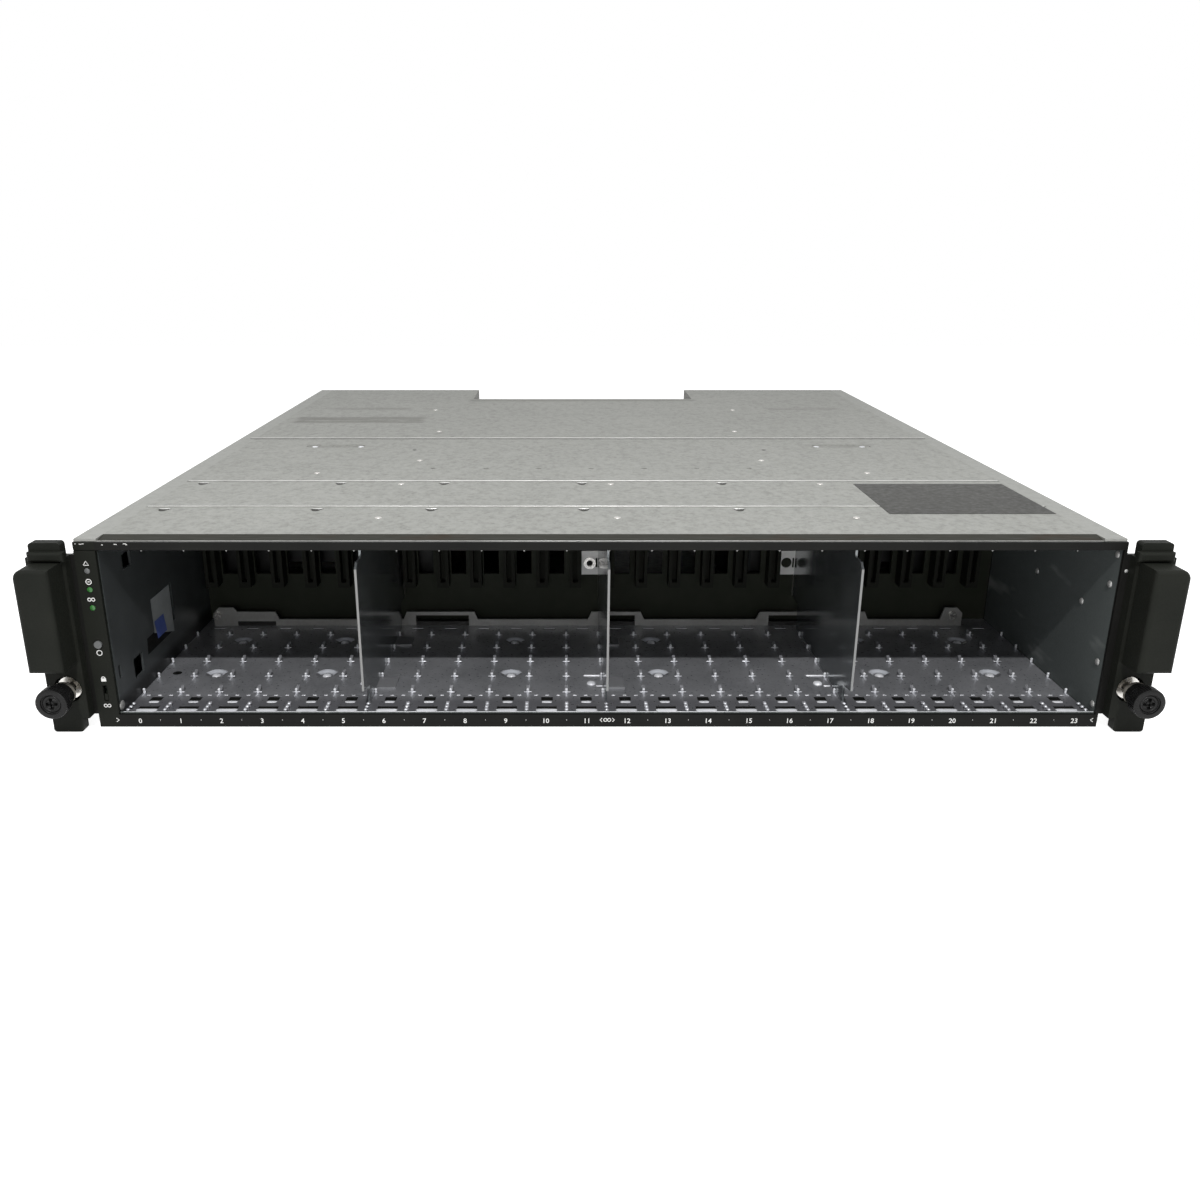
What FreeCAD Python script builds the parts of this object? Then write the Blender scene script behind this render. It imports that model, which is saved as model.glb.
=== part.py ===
import FreeCAD, Part
import os

import Sketcher
from FreeCAD import Placement, Rotation, Vector

# Driving dimensions in millimetres, each with what it measures.
SIZES = [
    ("chassis_width", 446.0, "outer width of the sheet metal body"),
    ("chassis_height", 86.8, "two rack units less the stacking gap"),
    ("chassis_depth", 482.0, "front face to the end of the rear wings"),
    ("recess_width", 176.0, "rear notch between the two power bays"),
    ("recess_depth", 56.0, "how far the controllers are set in"),
    ("wall", 1.2, "body sheet"),
    ("flange", 9.0, "inward top flange of the side walls"),
    ("trim", 1.6, "black front trim"),
    ("strip_height", 6.0, "slot number strip"),
    ("panel_width", 9.1, "control panel beside the drive bay"),
    ("button_radius", 1.7, "button on the control panel"),
    ("guide_sheet", 1.0, "drive guide plates, dividers and bay wall"),
    ("guide_height", 4.6, "bay floor above the base, ceiling below the top"),
    ("bay_depth", 130.0, "front face to the midplane"),
    ("board_thick", 2.4, "midplane board"),
    ("seam_depth", 243.5, "front face to the joint of the two covers"),
    ("lip_run", 9.3, "sloped front margin of the cover"),
    ("lip_drop", 1.1, "fall of that margin"),
    ("bead_front", 59.1, "first pressed line on the cover"),
    ("bead_rear", 115.8, "second pressed line on the cover"),
    ("ear_reach", 18.3, "rack ear beyond the side wall"),
    ("ear_sheet", 2.0, "rack ear flange"),
    ("ear_margin", 6.5, "ear flange short of the top and the base"),
    ("ear_plate", 5.0, "ear moulding, base plate"),
    ("ear_plate_width", 16.5, "ear moulding, width"),
    ("tab_width", 13.3, "upper and lower tab of the ear moulding"),
    ("tab_step", 2.0, "upper tab in from the outer edge"),
    ("cap_width", 15.0, "grip cap, from the outer edge"),
    ("cap_depth", 13.5, "grip cap standing out of the ear moulding"),
    ("cap_low", 33.0, "underside of the grip cap"),
    ("cap_high", 78.6, "top of the grip cap"),
    ("screw_inset", 8.75, "rack screw in from the outer edge of the ear"),
    ("screw_height", 20.2, "rack screw above the base"),
    ("knob_radius", 6.85, "thumbscrew knob"),
    ("grip_length", 5.6, "ridged grip of the thumbscrew knob"),
    ("stem_length", 7.4, "bright stem behind the grip"),
    ("stem_radius", 5.3, "bright stem behind the grip"),
    ("screw_travel", 4.7, "how far the thumbscrew drives in"),
    ("neck_radius", 1.9, "plain neck of the thumbscrew"),
    ("thread_radius", 2.4, "thread of the thumbscrew"),
    ("thread_length", 7.0, "thread behind the retainer"),
    ("sleeve_radius", 4.2, "sleeve of the screw through the ear, and its retaining ring"),
    ("ring_sheet", 0.9, "retaining ring of the thumbscrew"),
    ("collar_radius", 5.2, "collar of the ferrule, in the well of the ear moulding"),
    ("collar_reach", 2.6, "that collar in front of the ear flange"),
    ("socket_depth", 12.0, "module sockets behind the midplane"),
    ("module_gap", 0.6, "play beside a rear module"),
    ("module_lift", 0.3, "play under a rear module"),
    ("case_sheet", 1.0, "sheet of the rear module cases"),
    ("face_sheet", 1.6, "rear plates of the modules"),
    ("handle_reach", 26.0, "power module handle behind its face"),
    ("handle_bar", 6.0, "power module handle, bar"),
    ("fan_depth", 32.0, "fan frame"),
    ("lance_height", 2.6, "drive guide lance"),
    ("dimple_radius", 5.0, "countersunk dimple in the bay floor"),
    ("dimple_depth", 1.6, "countersunk dimple in the bay floor"),
    ("divider_tab", 10.0, "rear tab of a divider, across the bay"),
    ("tab_hole", 2.9, "screw hole in that tab"),
]

SLOTS = 24
BAY_SLOTS = 6
BAYS = SLOTS // BAY_SLOTS
KNOB_GAP = 0.5
SET_IN = 0.5

doc = FreeCAD.newDocument("StorageArray")
sheet = doc.addObject("Spreadsheet::Sheet", "Sizes")


class Size:
    """A length that carries the spreadsheet formula it comes from."""

    def __init__(self, formula, value):
        self.formula = formula
        self.value = float(value)

    def joined(self, sign, other, value):
        return Size("(%s %s %s)" % (self.formula, sign, other.formula), value)

    def __add__(self, other):
        other = as_size(other)
        return self.joined("+", other, self.value + other.value)

    def __sub__(self, other):
        other = as_size(other)
        return self.joined("-", other, self.value - other.value)

    def __mul__(self, other):
        other = as_size(other)
        return self.joined("*", other, self.value * other.value)

    def __truediv__(self, other):
        other = as_size(other)
        return self.joined("/", other, self.value / other.value)

    def __radd__(self, other):
        return as_size(other) + self

    def __rsub__(self, other):
        return as_size(other) - self

    def __rmul__(self, other):
        return as_size(other) * self

    def __neg__(self):
        return Size("(0 - %s)" % self.formula, -self.value)


def as_size(number):
    if isinstance(number, Size):
        return number
    return Size("(%r)" % float(number), number)


class Named:
    """The driving dimensions by name."""


s = Named()
for row, (alias, value, note) in enumerate(SIZES, start=1):
    sheet.set("A%d" % row, note)
    sheet.set("B%d" % row, str(value))
    sheet.setAlias("B%d" % row, alias)
    setattr(s, alias, Size("Sizes.%s" % alias, value))
doc.recompute()

# The pieces are drawn from the front face back; the origin lies under the middle of the whole.
stem_back = s.collar_reach + KNOB_GAP + s.screw_travel
front_reach = stem_back + s.stem_length + s.grip_length
rear_reach = s.chassis_depth - SET_IN + s.handle_reach
origin_shift = (front_reach - rear_reach) / 2

pieces = []
drawn_depth = {}


def keep(obj, label):
    """Move a finished piece to the shared origin and name it; its label is its file name."""
    bind(obj, "Placement.Base.y", drawn_depth.get(obj.Name, as_size(0)) + origin_shift)
    obj.Label = label
    pieces.append(obj)
    return obj


def bind(obj, field, size):
    obj.setExpression(field, as_size(size).formula)


def place(obj, x, y, z):
    for axis, size in zip("xyz", (x, y, z)):
        bind(obj, "Placement.Base.%s" % axis, size)
    drawn_depth[obj.Name] = as_size(y)
    return obj


# Plain solids.

def block(name, x, y, z):
    """A box from three (low, high) spans."""
    box = doc.addObject("Part::Box", name)
    for field, span in zip(("Length", "Width", "Height"), (x, y, z)):
        bind(box, field, as_size(span[1]) - span[0])
    return place(box, x[0], y[0], z[0])


def rod(name, radius, x, y, z):
    """A cylinder along the one axis that is given as a (low, high) span."""
    turns = {0: Rotation(Vector(0, 1, 0), 90), 1: Rotation(Vector(1, 0, 0), -90), 2: Rotation()}
    spans = [x, y, z]
    along = [i for i, span in enumerate(spans) if isinstance(span, tuple)][0]
    low, high = spans[along]
    spans[along] = low
    cylinder = doc.addObject("Part::Cylinder", name)
    cylinder.Placement = Placement(Vector(), turns[along])
    bind(cylinder, "Radius", radius)
    bind(cylinder, "Height", as_size(high) - low)
    return place(cylinder, *spans)


def fuse(name, shapes):
    union = doc.addObject("Part::MultiFuse", name)
    union.Shapes = shapes
    union.Refine = True
    return union


def cut(name, base, tools):
    tool = tools[0] if len(tools) == 1 else fuse(name + "_tools", tools)
    result = doc.addObject("Part::Cut", name)
    result.Base = base
    result.Tool = tool
    return result


def group(name, shapes):
    """Separate solids that share one node."""
    compound = doc.addObject("Part::Compound", name)
    compound.Links = shapes
    return compound


# Sketched solids.

NORMALS = {"XY": "+Z", "XZ": "-Y", "YZ": "+X"}


def new_body(name):
    return doc.addObject("PartDesign::Body", name)


def datum(body, role):
    return [item for item in body.Origin.OriginFeatures if item.Role == role][0]


def hold(sketch, geometry, point, x, y):
    """Fix one point of a sketch to a pair of sizes."""
    for kind, size in (("DistanceX", as_size(x)), ("DistanceY", as_size(y))):
        index = sketch.addConstraint(Sketcher.Constraint(kind, -1, 1, geometry, point, size.value))
        name = "%s_%d_%d" % (kind[-1].lower(), geometry, point)
        sketch.renameConstraint(index, name)
        bind(sketch, "Constraints.%s" % name, size)


def draw(body, plane, at, loops=(), circles=()):
    """A sketch of closed polygons and circles on a plane at a given height."""
    sketch = body.newObject("Sketcher::SketchObject", body.Name + "_sketch")
    sketch.AttachmentSupport = (datum(body, plane + "_Plane"), [""])
    sketch.MapMode = "FlatFace"
    bind(sketch, "AttachmentOffset.Base.z", -as_size(at) if plane == "XZ" else at)
    for loop in loops:
        first = sketch.GeometryCount
        points = [Vector(as_size(x).value, as_size(y).value, 0) for x, y in loop]
        count = len(points)
        for i in range(count):
            sketch.addGeometry(Part.LineSegment(points[i], points[(i + 1) % count]), False)
        for i in range(count):
            following = first + (i + 1) % count
            sketch.addConstraint(Sketcher.Constraint("Coincident", first + i, 2, following, 1))
        for i, (x, y) in enumerate(loop):
            hold(sketch, first + i, 1, x, y)
    for x, y, radius in circles:
        centre = Vector(as_size(x).value, as_size(y).value, 0)
        round_size = as_size(radius)
        index = sketch.addGeometry(Part.Circle(centre, Vector(0, 0, 1), round_size.value), False)
        hold(sketch, index, 3, x, y)
        ring = sketch.addConstraint(Sketcher.Constraint("Radius", index, round_size.value))
        sketch.renameConstraint(ring, "radius_%d" % index)
        bind(sketch, "Constraints.radius_%d" % index, round_size)
    return sketch


def plane_of(sketch):
    return sketch.AttachmentSupport[0][0].Role[:2]


def pad(body, sketch, length, toward):
    feature = body.newObject("PartDesign::Pad", body.Name + "_pad")
    feature.Profile = sketch
    feature.Reversed = NORMALS[plane_of(sketch)] != toward
    bind(feature, "Length", length)
    return feature


def pocket(body, sketch, length, toward):
    feature = body.newObject("PartDesign::Pocket", body.Name + "_pocket")
    feature.Profile = sketch
    feature.Reversed = NORMALS[plane_of(sketch)] == toward
    bind(feature, "Length", length)
    return feature


def repeat(body, feature, pitch, count, second_pitch=None, second_count=1, axis="X", second_axis="X"):
    """A row of copies along one axis, or a row of rows."""
    row = body.newObject("PartDesign::LinearPattern", body.Name + "_row")
    row.Originals = [feature]
    row.Direction = (datum(body, axis + "_Axis"), [""])
    bind(row, "Length", as_size(pitch) * (count - 1))
    row.Occurrences = count
    if second_count > 1:
        row.Direction2 = (datum(body, second_axis + "_Axis"), [""])
        bind(row, "Length2", as_size(second_pitch) * (second_count - 1))
        row.Occurrences2 = second_count
    body.Tip = row
    return row


def round_edges(body, radius, chosen):
    """Fillet the edges of the body's tip that the test picks."""
    doc.recompute()
    base = body.Tip
    names = ["Edge%d" % (i + 1) for i, edge in enumerate(base.Shape.Edges) if chosen(edge)]
    fillet = body.newObject("PartDesign::Fillet", body.Name + "_fillet")
    fillet.Base = (base, names)
    bind(fillet, "Radius", radius)
    return fillet


def rect(x, y):
    return [(x[0], y[0]), (x[1], y[0]), (x[1], y[1]), (x[0], y[1])]


def around(centre, half_width):
    return (centre - as_size(half_width), centre + as_size(half_width))


def near(a, b):
    return abs(a - as_size(b).value) < 1e-4


def along_axis(edge, axis):
    """Whether a straight edge runs along x, y or z."""
    if edge.Curve.TypeId != "Part::GeomLine":
        return False
    return abs(abs(edge.Curve.Direction.dot(axis)) - 1) < 1e-6


# Places worked out from the driving dimensions.

half = s.chassis_width / 2
inner = half - s.wall
top = s.chassis_height
under_cover = top - s.wall
under_flange = top - s.wall * 2
bay_left = s.panel_width - half
pitch = (inner - bay_left) / SLOTS
floor = s.guide_height
ceiling = top - s.guide_height
board_front = s.bay_depth
board_back = s.bay_depth + s.board_thick
module_front = board_back + s.socket_depth + 1.5
cage = s.recess_width / 2
recess_front = s.chassis_depth - s.recess_depth
hem_half = half - s.flange - 0.5
rail_top = top - s.lip_drop
screw_x = half + s.ear_reach - s.screw_inset


def boundary(number):
    """Left face of a drive slot."""
    return bay_left + pitch * number


dividers = {"left": boundary(BAY_SLOTS), "centre": boundary(2 * BAY_SLOTS), "right": boundary(3 * BAY_SLOTS)}
sides = {"left": -1, "right": 1}


# Body of the chassis: one folded tray with inward top flanges and a front lip.

def chassis_base():
    body = new_body("base")
    lip = half - s.flange
    outline = [
        (-half, 0), (half, 0), (half, under_cover), (lip, under_cover), (lip, under_flange),
        (inner, under_flange), (inner, s.wall), (-inner, s.wall), (-inner, under_flange),
        (-lip, under_flange), (-lip, under_cover), (-half, under_cover),
    ]
    pad(body, draw(body, "XZ", s.trim, [outline]), s.chassis_depth - s.trim, "+Y")
    front_lip = rect((-inner, inner), (s.wall, s.strip_height + 0.4))
    pad(body, draw(body, "XZ", s.trim, [front_lip]), s.wall, "+Y")
    notch = rect((-cage, cage), (recess_front, s.chassis_depth))
    pocket(body, draw(body, "XY", s.wall, [notch]), s.wall, "-Z")

    def outer_bend(edge):
        centre = edge.CenterOfMass
        return along_axis(edge, Vector(0, 1, 0)) and near(abs(centre.x), half) and near(centre.z, 0)

    round_edges(body, s.wall * 1.6, outer_bend)
    keep(body, "chassis_base")


# Top: a front sheet with a hemmed, sloped margin, pressed lines and rivet seats, and a notched rear sheet.

SEAT_HALF = 4.8
seat_x = (half * 0.62, half * 0.78)
seat_y = s.seam_depth * 0.89
seat_depth = s.wall * 0.4


def front_cover():
    body = new_body("front_cover_body")
    sheet_area = rect((-half, half), (s.trim, s.seam_depth))
    pad(body, draw(body, "XY", under_cover, [sheet_area]), s.wall, "+Z")
    hem = rect((-hem_half, hem_half), (s.trim, s.lip_run))
    pad(body, draw(body, "XY", under_flange, [hem]), s.wall, "+Z")
    tongue = rect((-hem_half, hem_half), (s.seam_depth - 8, s.seam_depth + 14))
    pad(body, draw(body, "XY", under_flange, [tongue]), s.wall, "+Z")
    slope = [(s.trim, top), (s.lip_run, top), (s.trim, rail_top)]
    pocket(body, draw(body, "YZ", -hem_half, [slope]), hem_half * 2, "+X")
    bead = 1.1
    lines = [rect((-hem_half, hem_half), around(y, bead)) for y in (s.bead_front, s.bead_rear)]
    pocket(body, draw(body, "XY", top, lines), s.wall * 0.4, "-Z")
    dent = 3.4
    dents = []
    for y in (s.bead_front, s.bead_rear):
        rear = y - 4.2
        for x in (-203.4, -131.7, -77.7, -6.0, 67.0):
            column = half * (x / 223.0)
            dents.append([
                (column - dent, rear), (column + dent, rear), (column + dent * 0.8, rear - dent * 0.6),
                (column, rear - dent), (column - dent * 0.8, rear - dent * 0.6),
            ])
    pocket(body, draw(body, "XY", top, dents), s.wall * 0.5, "-Z")
    hole_row = [(s.recess_width * (i / 6.0), board_back + 16.7, 1.5) for i in range(-3, 4)]
    pocket(body, draw(body, "XY", top, circles=hole_row), s.wall, "-Z")
    seats = [rect((seat_x[0] * side, seat_x[1] * side), around(seat_y, SEAT_HALF)) for side in sides.values()]
    pocket(body, draw(body, "XY", top, seats), seat_depth, "-Z")

    def seat_corner(edge):
        centre = edge.CenterOfMass
        in_row = near(abs(centre.y - seat_y.value), SEAT_HALF)
        return along_axis(edge, Vector(0, 0, 1)) and in_row and any(near(abs(centre.x), x) for x in seat_x)

    round_edges(body, SEAT_HALF * 0.9, seat_corner)
    keep(body, "front_cover")


def rear_cover():
    body = new_body("rear_cover_body")
    start = s.seam_depth + 0.3
    outline = [
        (-half, start), (half, start), (half, s.chassis_depth), (cage, s.chassis_depth),
        (cage, recess_front), (-cage, recess_front), (-cage, s.chassis_depth), (-half, s.chassis_depth),
    ]
    pad(body, draw(body, "XY", under_cover, [outline]), s.wall, "+Z")
    keep(body, "rear_cover")


# Drive guides: lanced plates under and over the drives, with latch windows in the lower one.

LANCE_ROWS = 5
LANCE_TEETH = 3
DIMPLE_SLOTS = (1.5, 4.5, 9.5, 13.5, 19.5, 22.5)
DIMPLE_ROWS = (0.39, 0.735)
DIMPLE_TAPER = -43


def lances(body, level, rise, teeth=0):
    """Wedge lances on every slot boundary that has no divider, with small teeth before the first row."""
    run = 4.5
    tooth = 2.0
    width = 1.5
    wedges = []
    for number in range(LANCE_ROWS):
        y = board_front * (0.2 + 0.146 * number)
        wedges.append([(y, level), (y + run, level), (y + run, level + rise)])
    for number in range(teeth):
        y = s.trim + 3.4 + tooth * 1.7 * number
        wedges.append([(y, level), (y + tooth, level), (y + tooth, level + rise * 0.6)])
    column = pad(body, draw(body, "YZ", boundary(1) - width / 2, wedges), width, "+X")
    repeat(body, column, pitch, BAY_SLOTS - 1, pitch * BAY_SLOTS, BAYS)


def lower_guide_plate():
    body = new_body("lower_guide")
    front = s.trim + s.wall
    right = inner - 0.3
    profile = [
        (front, s.wall), (front + s.guide_sheet, s.wall), (front + s.guide_sheet, floor - s.guide_sheet),
        (board_front - s.guide_sheet, floor - s.guide_sheet), (board_front - s.guide_sheet, s.wall),
        (board_front, s.wall), (board_front, floor), (front, floor),
    ]
    pad(body, draw(body, "YZ", bay_left, [profile]), right - bay_left, "+X")
    middle = bay_left + pitch / 2
    windows = [
        rect(around(middle, 4.6), (front + 6.6, front + 9.9)),
        rect(around(middle, 2.7), (front + 15.7, front + 20.4)),
        rect(around(middle, 3.4), (board_front - 17.0, board_front - 15.6)),
    ]
    opening = pocket(body, draw(body, "XY", floor, windows), s.guide_sheet, "-Z")
    repeat(body, opening, pitch, SLOTS)
    lances(body, floor, s.lance_height, LANCE_TEETH)
    channels = [rect(around(x, 10), (board_front * 0.342, board_front * 0.38)) for x in dividers.values()]
    pocket(body, draw(body, "XY", floor, channels), s.guide_sheet / 2, "-Z")
    spots = [(boundary(slot), board_front * share) for slot in DIMPLE_SLOTS for share in DIMPLE_ROWS]
    cups = [(x, y, s.dimple_radius) for x, y in spots]
    pad(body, draw(body, "XY", floor - s.guide_sheet, circles=cups), s.dimple_depth, "-Z")
    sinks = pocket(body, draw(body, "XY", floor, circles=cups), s.dimple_depth, "-Z")
    sinks.TaperAngle = DIMPLE_TAPER
    keep(body, "lower_guide_plate")


def upper_guide_plate():
    body = new_body("upper_guide")
    right = inner - 0.3
    profile = [
        (s.trim, ceiling), (board_front, ceiling), (board_front, ceiling + s.guide_sheet),
        (s.trim + s.guide_sheet, ceiling + s.guide_sheet), (s.trim + s.guide_sheet, under_flange),
        (s.trim, under_flange),
    ]
    pad(body, draw(body, "YZ", bay_left, [profile]), right - bay_left, "+X")
    back = rect((-hem_half, hem_half), (ceiling, under_cover))
    pad(body, draw(body, "XZ", board_front - s.guide_sheet, [back]), s.guide_sheet, "+Y")
    lances(body, ceiling, -s.lance_height)
    keep(body, "upper_guide_plate")


tab_level = top * 0.437


def tab_screw_x(name):
    """Middle of the flat of a divider's rear tab."""
    return dividers[name] - s.divider_tab / 2


def divider(name):
    """Plate between two groups of slots, with riveted feet and a screwed rear tab."""
    x = dividers[name]
    left = x - s.guide_sheet / 2
    right = x + s.guide_sheet / 2
    body = new_body(name + "_divider_body")
    front = s.trim + 1.6
    step = front + 12
    outline = [
        (front, floor + 11.4), (front, ceiling - 9.6), (front + 3, ceiling - 7.2), (step, ceiling - 7.2),
        (step, ceiling), (board_front, ceiling), (board_front, floor + 14), (board_front - 15, floor + 14),
        (board_front - 15, floor), (step, floor), (step, floor + 9),
    ]
    pad(body, draw(body, "YZ", left, [outline]), s.guide_sheet, "+X")
    feet = [rect((left, right + 9), around(board_front * share, 6)) for share in (0.29, 0.72)]
    pad(body, draw(body, "XY", floor, feet), s.guide_sheet, "+Z")
    pad(body, draw(body, "XY", ceiling, feet), s.guide_sheet, "-Z")
    tab = rect((right - s.divider_tab, right), around(tab_level, top * 0.078))
    bend_slit = rect((left - 1.3, left - 0.2), around(tab_level, 2.8))
    hole = (tab_screw_x(name), tab_level, s.tab_hole)
    pad(body, draw(body, "XZ", board_front - s.guide_sheet, [tab, bend_slit], [hole]), s.guide_sheet, "+Y")
    keep(body, name + "_divider")


def left_bay_wall():
    """Inner wall that shuts the control panel space off from slot 0."""
    body = new_body("bay_wall")
    outline = rect((s.trim + s.wall, board_front), (s.wall, under_flange))
    windows = [
        rect((board_front * 0.38, board_front * 0.59), (top * 0.27, top * 0.5)),
        rect((board_front * 0.19, board_front * 0.26), (top * 0.76, top * 0.84)),
        rect((board_front * 0.17, board_front * 0.25), (top * 0.16, top * 0.27)),
        rect((board_front * 0.045, board_front * 0.065), (top * 0.24, top * 0.31)),
    ]
    pad(body, draw(body, "YZ", bay_left - s.guide_sheet, [outline] + windows), s.guide_sheet, "+X")
    keep(body, "left_bay_wall")


# Front trim.

def front_trim():
    keep(block("strip", (bay_left, half), (0, s.trim), (0, s.strip_height)), "slot_strip")
    keep(block("rail", (bay_left, half), (0, s.trim), (ceiling, rail_top)), "top_rail")
    keep(block("post", (inner, half), (0, s.trim), (s.strip_height, ceiling)), "right_trim_post")


# Midplane: board with air windows, drive and module connectors, bracket and screws.

CONNECTOR_OFFSET = -4.0
CONNECTOR_LOW = 26.0
CONNECTOR_HIGH = 68.0


def midplane_board():
    body = new_body("midplane")
    side = inner - 0.3
    outline = rect((-side, side), (s.wall, under_flange))
    pad(body, draw(body, "XZ", board_front, [outline]), s.board_thick, "+Y")
    centre = bay_left + pitch / 2 + 4.0
    window = rect(around(centre, 4.15), (top * 0.36, top * 0.68))
    air = pocket(body, draw(body, "XZ", board_front, [window]), s.board_thick, "+Y")
    repeat(body, air, pitch, BAY_SLOTS - 1, pitch * BAY_SLOTS, BAYS)
    keep(body, "midplane_board")


def midplane_connectors():
    solids = []
    low = top * (CONNECTOR_LOW / 86.8)
    high = top * (CONNECTOR_HIGH / 86.8)
    behind = (board_back, board_back + s.socket_depth)
    for slot in range(SLOTS):
        x = boundary(slot + 0.5) + CONNECTOR_OFFSET
        shell = block("drive_shell_%d" % slot, around(x, 3.2), (board_front - 9, board_front), (low, high))
        mouth = block("drive_mouth_%d" % slot, around(x, 1.4), (board_front - 9, board_front - 3),
                      (low + 3, high - 3))
        solids.append(cut("drive_socket_%d" % slot, shell, [mouth]))
    for name, side in sides.items():
        x = (inner + cage) / 2 * side
        solids.append(block(name + "_power_socket", around(x, 24), behind, (14, 30)))
    for name, base in (("lower", s.wall), ("upper", top / 2)):
        solids.append(block(name + "_data_socket", around(0, 40), behind, (base + 10, base + 24)))
    keep(group("midplane_sockets", solids), "midplane_connectors")


def midplane_bracket():
    """Stepped strip along the foot of the midplane, bridging the divider feet."""
    body = new_body("bracket")
    y = board_front - 11
    low = floor + 3.6
    mid = floor + 8.0
    high = floor + 10.4
    left_end = bay_left + 5
    right_end = inner - 17
    outline = [(left_end, floor), (right_end, floor), (right_end, high - 3), (right_end - 3, high),
               (right_end - 10, high), (right_end - 12, low)]
    arches = [
        (dividers["right"] - 22, dividers["right"] + 40),
        (dividers["centre"] - 6, dividers["centre"] + 25),
        (dividers["left"] + 0.8, dividers["left"] + 42),
    ]
    for start, end in arches:
        outline += [(end, low), (end - 2, mid), (start + 2, mid), (start, low)]
    outline += [(left_end + 36, low), (left_end + 34, mid), (left_end + 13, mid), (left_end + 11, high),
                (left_end + 3, high), (left_end, high - 3)]
    pad(body, draw(body, "XZ", y, [outline]), 1.2, "+Y")
    foot = rect((left_end, right_end), (y, y + 8))
    pad(body, draw(body, "XY", floor, [foot]), 1.0, "+Z")
    holes = [rect((start + 7, end - 5), (floor + 2.4, mid - 2.0)) for start, end in arches]
    pocket(body, draw(body, "XZ", y, holes), 1.2, "+Y")
    keep(body, "midplane_bracket")


def midplane_screws():
    heads = []
    head = 1.3
    front = board_front - s.guide_sheet
    span = (front - head, front)
    for name in ("left", "centre"):
        x = tab_screw_x(name)
        blank = rod(name + "_tab_head", s.tab_hole + 0.4, x, span, tab_level)
        socket = rod(name + "_tab_socket", s.tab_hole * 0.62, x, (front - head - 1, front - 0.4), tab_level)
        heads.append(cut(name + "_tab_screw", blank, [socket]))
    bracket_front = board_front - 11
    span = (bracket_front - head, bracket_front)
    for name, x in (("left", bay_left + 7.0), ("right", inner - 22.5)):
        heads.append(rod(name + "_bracket_screw", 2.2, x, span, floor + 6.2))
    keep(group("screw_heads", heads), "midplane_screws")


# Rear cage: partitions beside the controllers and the shelf between them.

def partition(name):
    side = sides[name]
    body = new_body(name + "_partition_body")
    start = board_back + 4
    outline = [(start, s.wall), (s.chassis_depth, s.wall), (s.chassis_depth, under_cover),
               (recess_front - 30, under_cover), (recess_front - 30, under_flange), (start, under_flange)]
    at = cage if side > 0 else -cage - s.wall
    pad(body, draw(body, "YZ", at, [outline]), s.wall, "+X")
    keep(body, name + "_partition")


def module_shelf():
    level = (top / 2 - s.wall / 2, top / 2 + s.wall / 2)
    keep(block("shelf", (-cage, cage), (module_front, recess_front), level), "module_shelf")


# Small fixed pieces on the top.

def top_rivets():
    heads = []
    spots = []
    for x in dividers.values():
        spots += [(x + 5, board_front * 0.29), (x + 5, board_front * 0.72 + 15)]
    for side in sides.values():
        spots += [((cage + 10.5) * side, board_back + 39), ((cage + 10.5) * side, s.seam_depth + 27),
                  ((cage + 24) * side, recess_front - 60), ((cage + 62) * side, board_back + 4)]
    for number, (x, y) in enumerate(spots):
        heads.append(rod("rivet_%d" % number, 2.0, x, y, (top, top + 0.4)))
    for number, side in enumerate(sides.values()):
        for end, x in enumerate((seat_x[0] + SEAT_HALF, seat_x[1] - SEAT_HALF)):
            head = rod("seat_rivet_%d_%d" % (number, end), 1.8, x * side, seat_y, (top - seat_depth, top))
            heads.append(head)
    keep(group("rivet_heads", heads), "cover_rivets")


def info_label():
    area = ((half - 88, half - 11), (s.bead_front - 14.6, s.bead_rear - 7.4))
    keep(block("label", area[0], area[1], (top, top + 0.15)), "info_label")


# Rack ears with their mouldings and captive thumbscrews.

def spans(side, low, high):
    """A span measured outward from the middle, on the left or the right."""
    return (low, high) if side > 0 else (-as_size(high), -as_size(low))


def ear(name):
    side = sides[name]
    edge = half + s.ear_reach
    height = (s.ear_margin, top - s.ear_margin)
    flange = block(name + "_flange", spans(side, half, edge), (0, s.ear_sheet), height)
    leg = block(name + "_leg", spans(side, half, half + 1.5), (s.ear_sheet, 30), height)
    through = (-1, s.ear_sheet + 1)
    hole = rod(name + "_ear_hole", s.sleeve_radius + 0.4, screw_x * side, through, s.screw_height)
    keep(cut(name + "_ear_sheet", fuse(name + "_ear_blank", [flange, leg]), [hole]), name + "_ear")


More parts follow.
